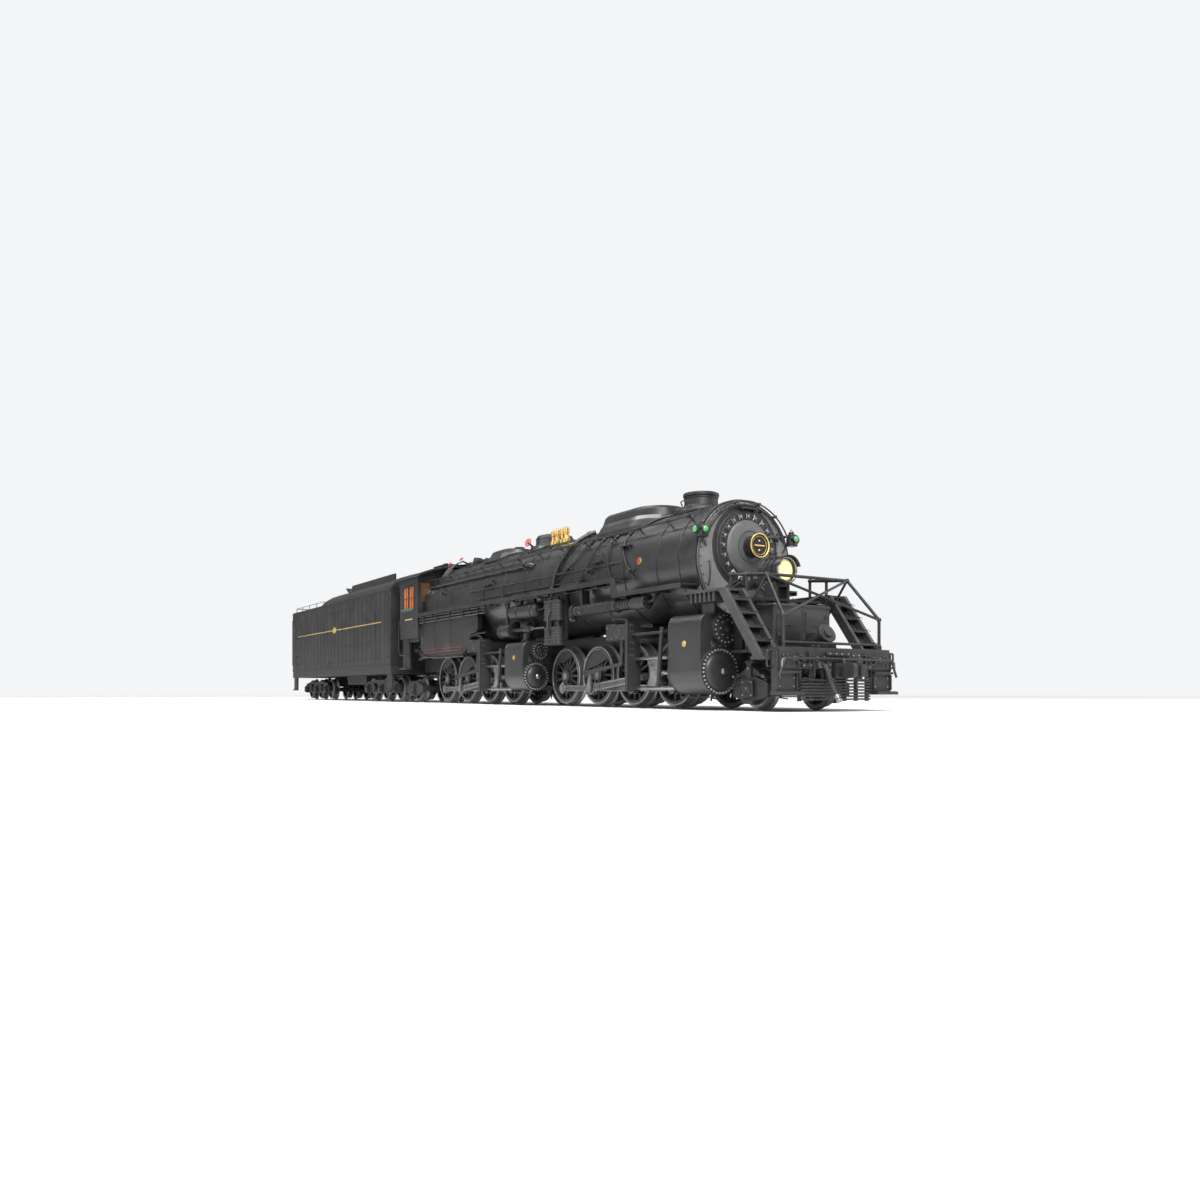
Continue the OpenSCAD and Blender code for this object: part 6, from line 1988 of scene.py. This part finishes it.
def coal_floor(x):
    """The bunker floor, rising to the rear."""
    return 62 if x > -150 else 62 + (-150 - x) * 38 / 64


def coal_top(x, y):
    """The heap, highest along the middle."""
    t = (x + 214) / 130
    ripples = 1.0 * math.sin(x * 0.31) * math.cos(y * 0.4) + 0.8 * math.sin(x * 0.13 + y * 0.21)
    return min(97.2 - 3.0 * (y / 22) ** 2 - 2.2 * abs(t - 0.55) + ripples, 98.4)


def coal_bed(add):
    """A closed bed under the lumps: a rough top over the bunker floor."""
    rows, columns = 64, 22
    width = columns + 1
    top = []
    for i in range(rows + 1):
        x = -212.5 + i * (128.2 / rows)
        for j in range(width):
            y = -23.3 + j * (46.6 / columns)
            z = max(coal_top(x, y) - 1.2 + uniform(-0.5, 0.5), coal_floor(x) + 0.3)
            top.append((x, y, z))
    bottom = [(x, y, coal_floor(x) + 0.1) for x, y, _ in top]
    n = len(top)
    faces = []
    for i in range(rows):
        for j in range(columns):
            a = i * width + j
            faces.append((a, a + width, a + width + 1, a + 1))
            faces.append((n + a + 1, n + a + width + 1, n + a + width, n + a))
    edge = list(range(width)) + [i * width + columns for i in range(1, rows + 1)]
    edge += [rows * width + j for j in range(columns - 1, -1, -1)]
    edge += [i * width for i in range(rows - 1, 0, -1)]
    for a, b in zip(edge, edge[1:] + edge[:1]):
        faces.append((a, b, n + b, n + a))
    add.shape(top + bottom, faces)


@part(TENDER, "coal", sharp=5)
def coal_load(add):
    coal_bed(add)
    for _ in range(1750):
        x = uniform(-209.5, -87)
        y = uniform(-21.6, 21.6)
        radius = random.choice((0.8, 1.0, 1.2, 1.5, 1.9))
        lump(add, (x, y, max(coal_top(x, y), coal_floor(x) + radius) - 0.3), radius)


# ================================================================== finish slots
FINISH_SLOTS = {name: name for name in (
    "boiler_black", "satin_black", "weathered_black", "black_plastic", "graphite", "rod_steel",
    "wire_rail", "brass", "plate_black", "lamp_black")}
FINISH_SLOTS.update(graphite_dark="graphite", bright_steel="rod_steel", bolt_metal="rod_steel",
                    seam_black="black_plastic", rubber_hose="black_plastic",
                    coal="weathered_black")
scene = bpy.context.scene

# ================================================================== floor and backdrop
BACKDROP = (0.97, 0.985, 1.0, 1)
BACKDROP_STRENGTH = 0.93  # as the camera sees it
FILL_STRENGTH = 0.24  # as the model is lit by it, so that black paint stays black
FLOOR_HALF = 14


def floor_material():
    shader = Shader("floor_paper")
    feed = shader.feed
    surface = shader.surface.inputs
    tone = shader.noise(scale=3.0, detail=3)
    fibre = shader.noise(scale=900, detail=2)
    feed(shader.mix(tone, (0.78, 0.78, 0.777, 1), (0.82, 0.82, 0.817, 1)), surface["Base Color"])
    surface["Roughness"].default_value = 0.75
    # far from the train the paper runs evenly into the backdrop
    distance = shader.node("VectorMath", operation="LENGTH")
    feed(shader.position, distance.inputs[0])
    far = shader.node("MapRange", interpolation_type="SMOOTHSTEP")
    far.inputs["From Min"].default_value = 0.45
    far.inputs["From Max"].default_value = 1.5
    feed(distance.outputs["Value"], far.inputs[0])
    seen = shader.node("LightPath").outputs["Is Camera Ray"]
    emission = shader.node("Emission")
    emission.inputs[0].default_value = BACKDROP
    emission.inputs[1].default_value = BACKDROP_STRENGTH
    blend = shader.node("MixShader")
    feed(shader.calc("MULTIPLY", far.outputs[0], seen), blend.inputs[0])
    feed(shader.surface.outputs[0], blend.inputs[1])
    feed(emission.outputs[0], blend.inputs[2])
    feed(blend.outputs[0], shader.output.inputs[0])
    bump = shader.node("Bump")
    bump.inputs["Strength"].default_value = 0.05
    bump.inputs["Distance"].default_value = 0.0002
    feed(fibre, bump.inputs["Height"])
    feed(bump.outputs[0], surface["Normal"])
    return shader.material


def build_floor():
    mesh = bpy.data.meshes.new("floor")
    corners = ((-1, -1), (1, -1), (1, 1), (-1, 1))
    mesh.from_pydata([(x * FLOOR_HALF, y * FLOOR_HALF, 0) for x, y in corners], [], [(0, 1, 2, 3)])
    floor = bpy.data.objects.new("floor", mesh)
    scene.collection.objects.link(floor)
    mesh.materials.append(floor_material())


def build_world():
    world = bpy.data.worlds.new("world")
    scene.world = world
    world.use_nodes = True
    tree = world.node_tree
    background = tree.nodes["Background"]
    background.inputs[0].default_value = BACKDROP
    path = tree.nodes.new("ShaderNodeLightPath")
    strength = tree.nodes.new("ShaderNodeMapRange")
    tree.links.new(path.outputs["Is Camera Ray"], strength.inputs[0])
    strength.inputs["To Min"].default_value = FILL_STRENGTH
    strength.inputs["To Max"].default_value = BACKDROP_STRENGTH
    tree.links.new(strength.outputs[0], background.inputs[1])


build_floor()
build_world()
scene.view_settings.view_transform = "Standard"


# ================================================================== lights and camera
def facing(direction):
    return direction.to_track_quat("-Z", "Y").to_euler()


def area(name, place, target, length, width, power, color=(1, 1, 1)):
    light = bpy.data.lights.new(name, "AREA")
    light.shape = "RECTANGLE"
    light.size = length
    light.size_y = width
    light.energy = power
    light.color = color
    lamp = bpy.data.objects.new(name, light)
    scene.collection.objects.link(lamp)
    lamp.location = place
    lamp.rotation_euler = facing(Vector(target) - Vector(place))


area("key_front_right", place=(1.35, -0.55, 0.85), target=(0.15, 0, 0.05), length=0.7, width=0.5,
     power=22, color=(1, 0.985, 0.96))
area("overhead_soft", place=(0.05, -0.28, 1.15), target=(0.0, 0, 0.06), length=2.0, width=0.30,
     power=24)
area("fill_left", place=(0.7, 1.2, 0.7), target=(0.1, 0, 0.05), length=1.2, width=0.9, power=6,
     color=(0.93, 0.96, 1))
area("side_low", place=(-0.15, -1.35, 0.42), target=(-0.05, 0, 0.04), length=1.9, width=0.3,
     power=4.5)

lens = bpy.data.cameras.new("camera")
camera = bpy.data.objects.new("camera", lens)
scene.collection.objects.link(camera)
lens.sensor_width = 36
lens.lens = 28.5
lens.clip_start = 0.01
lens.shift_y = 0.076  # lifts the view while the camera stays level
camera.location = (0.620, -0.2845, 0.0082)
look_x, look_y = polar(1, 32.4)  # degrees from straight back towards +y
camera.rotation_euler = facing(Vector((-look_x, look_y, 0)))
scene.camera = camera
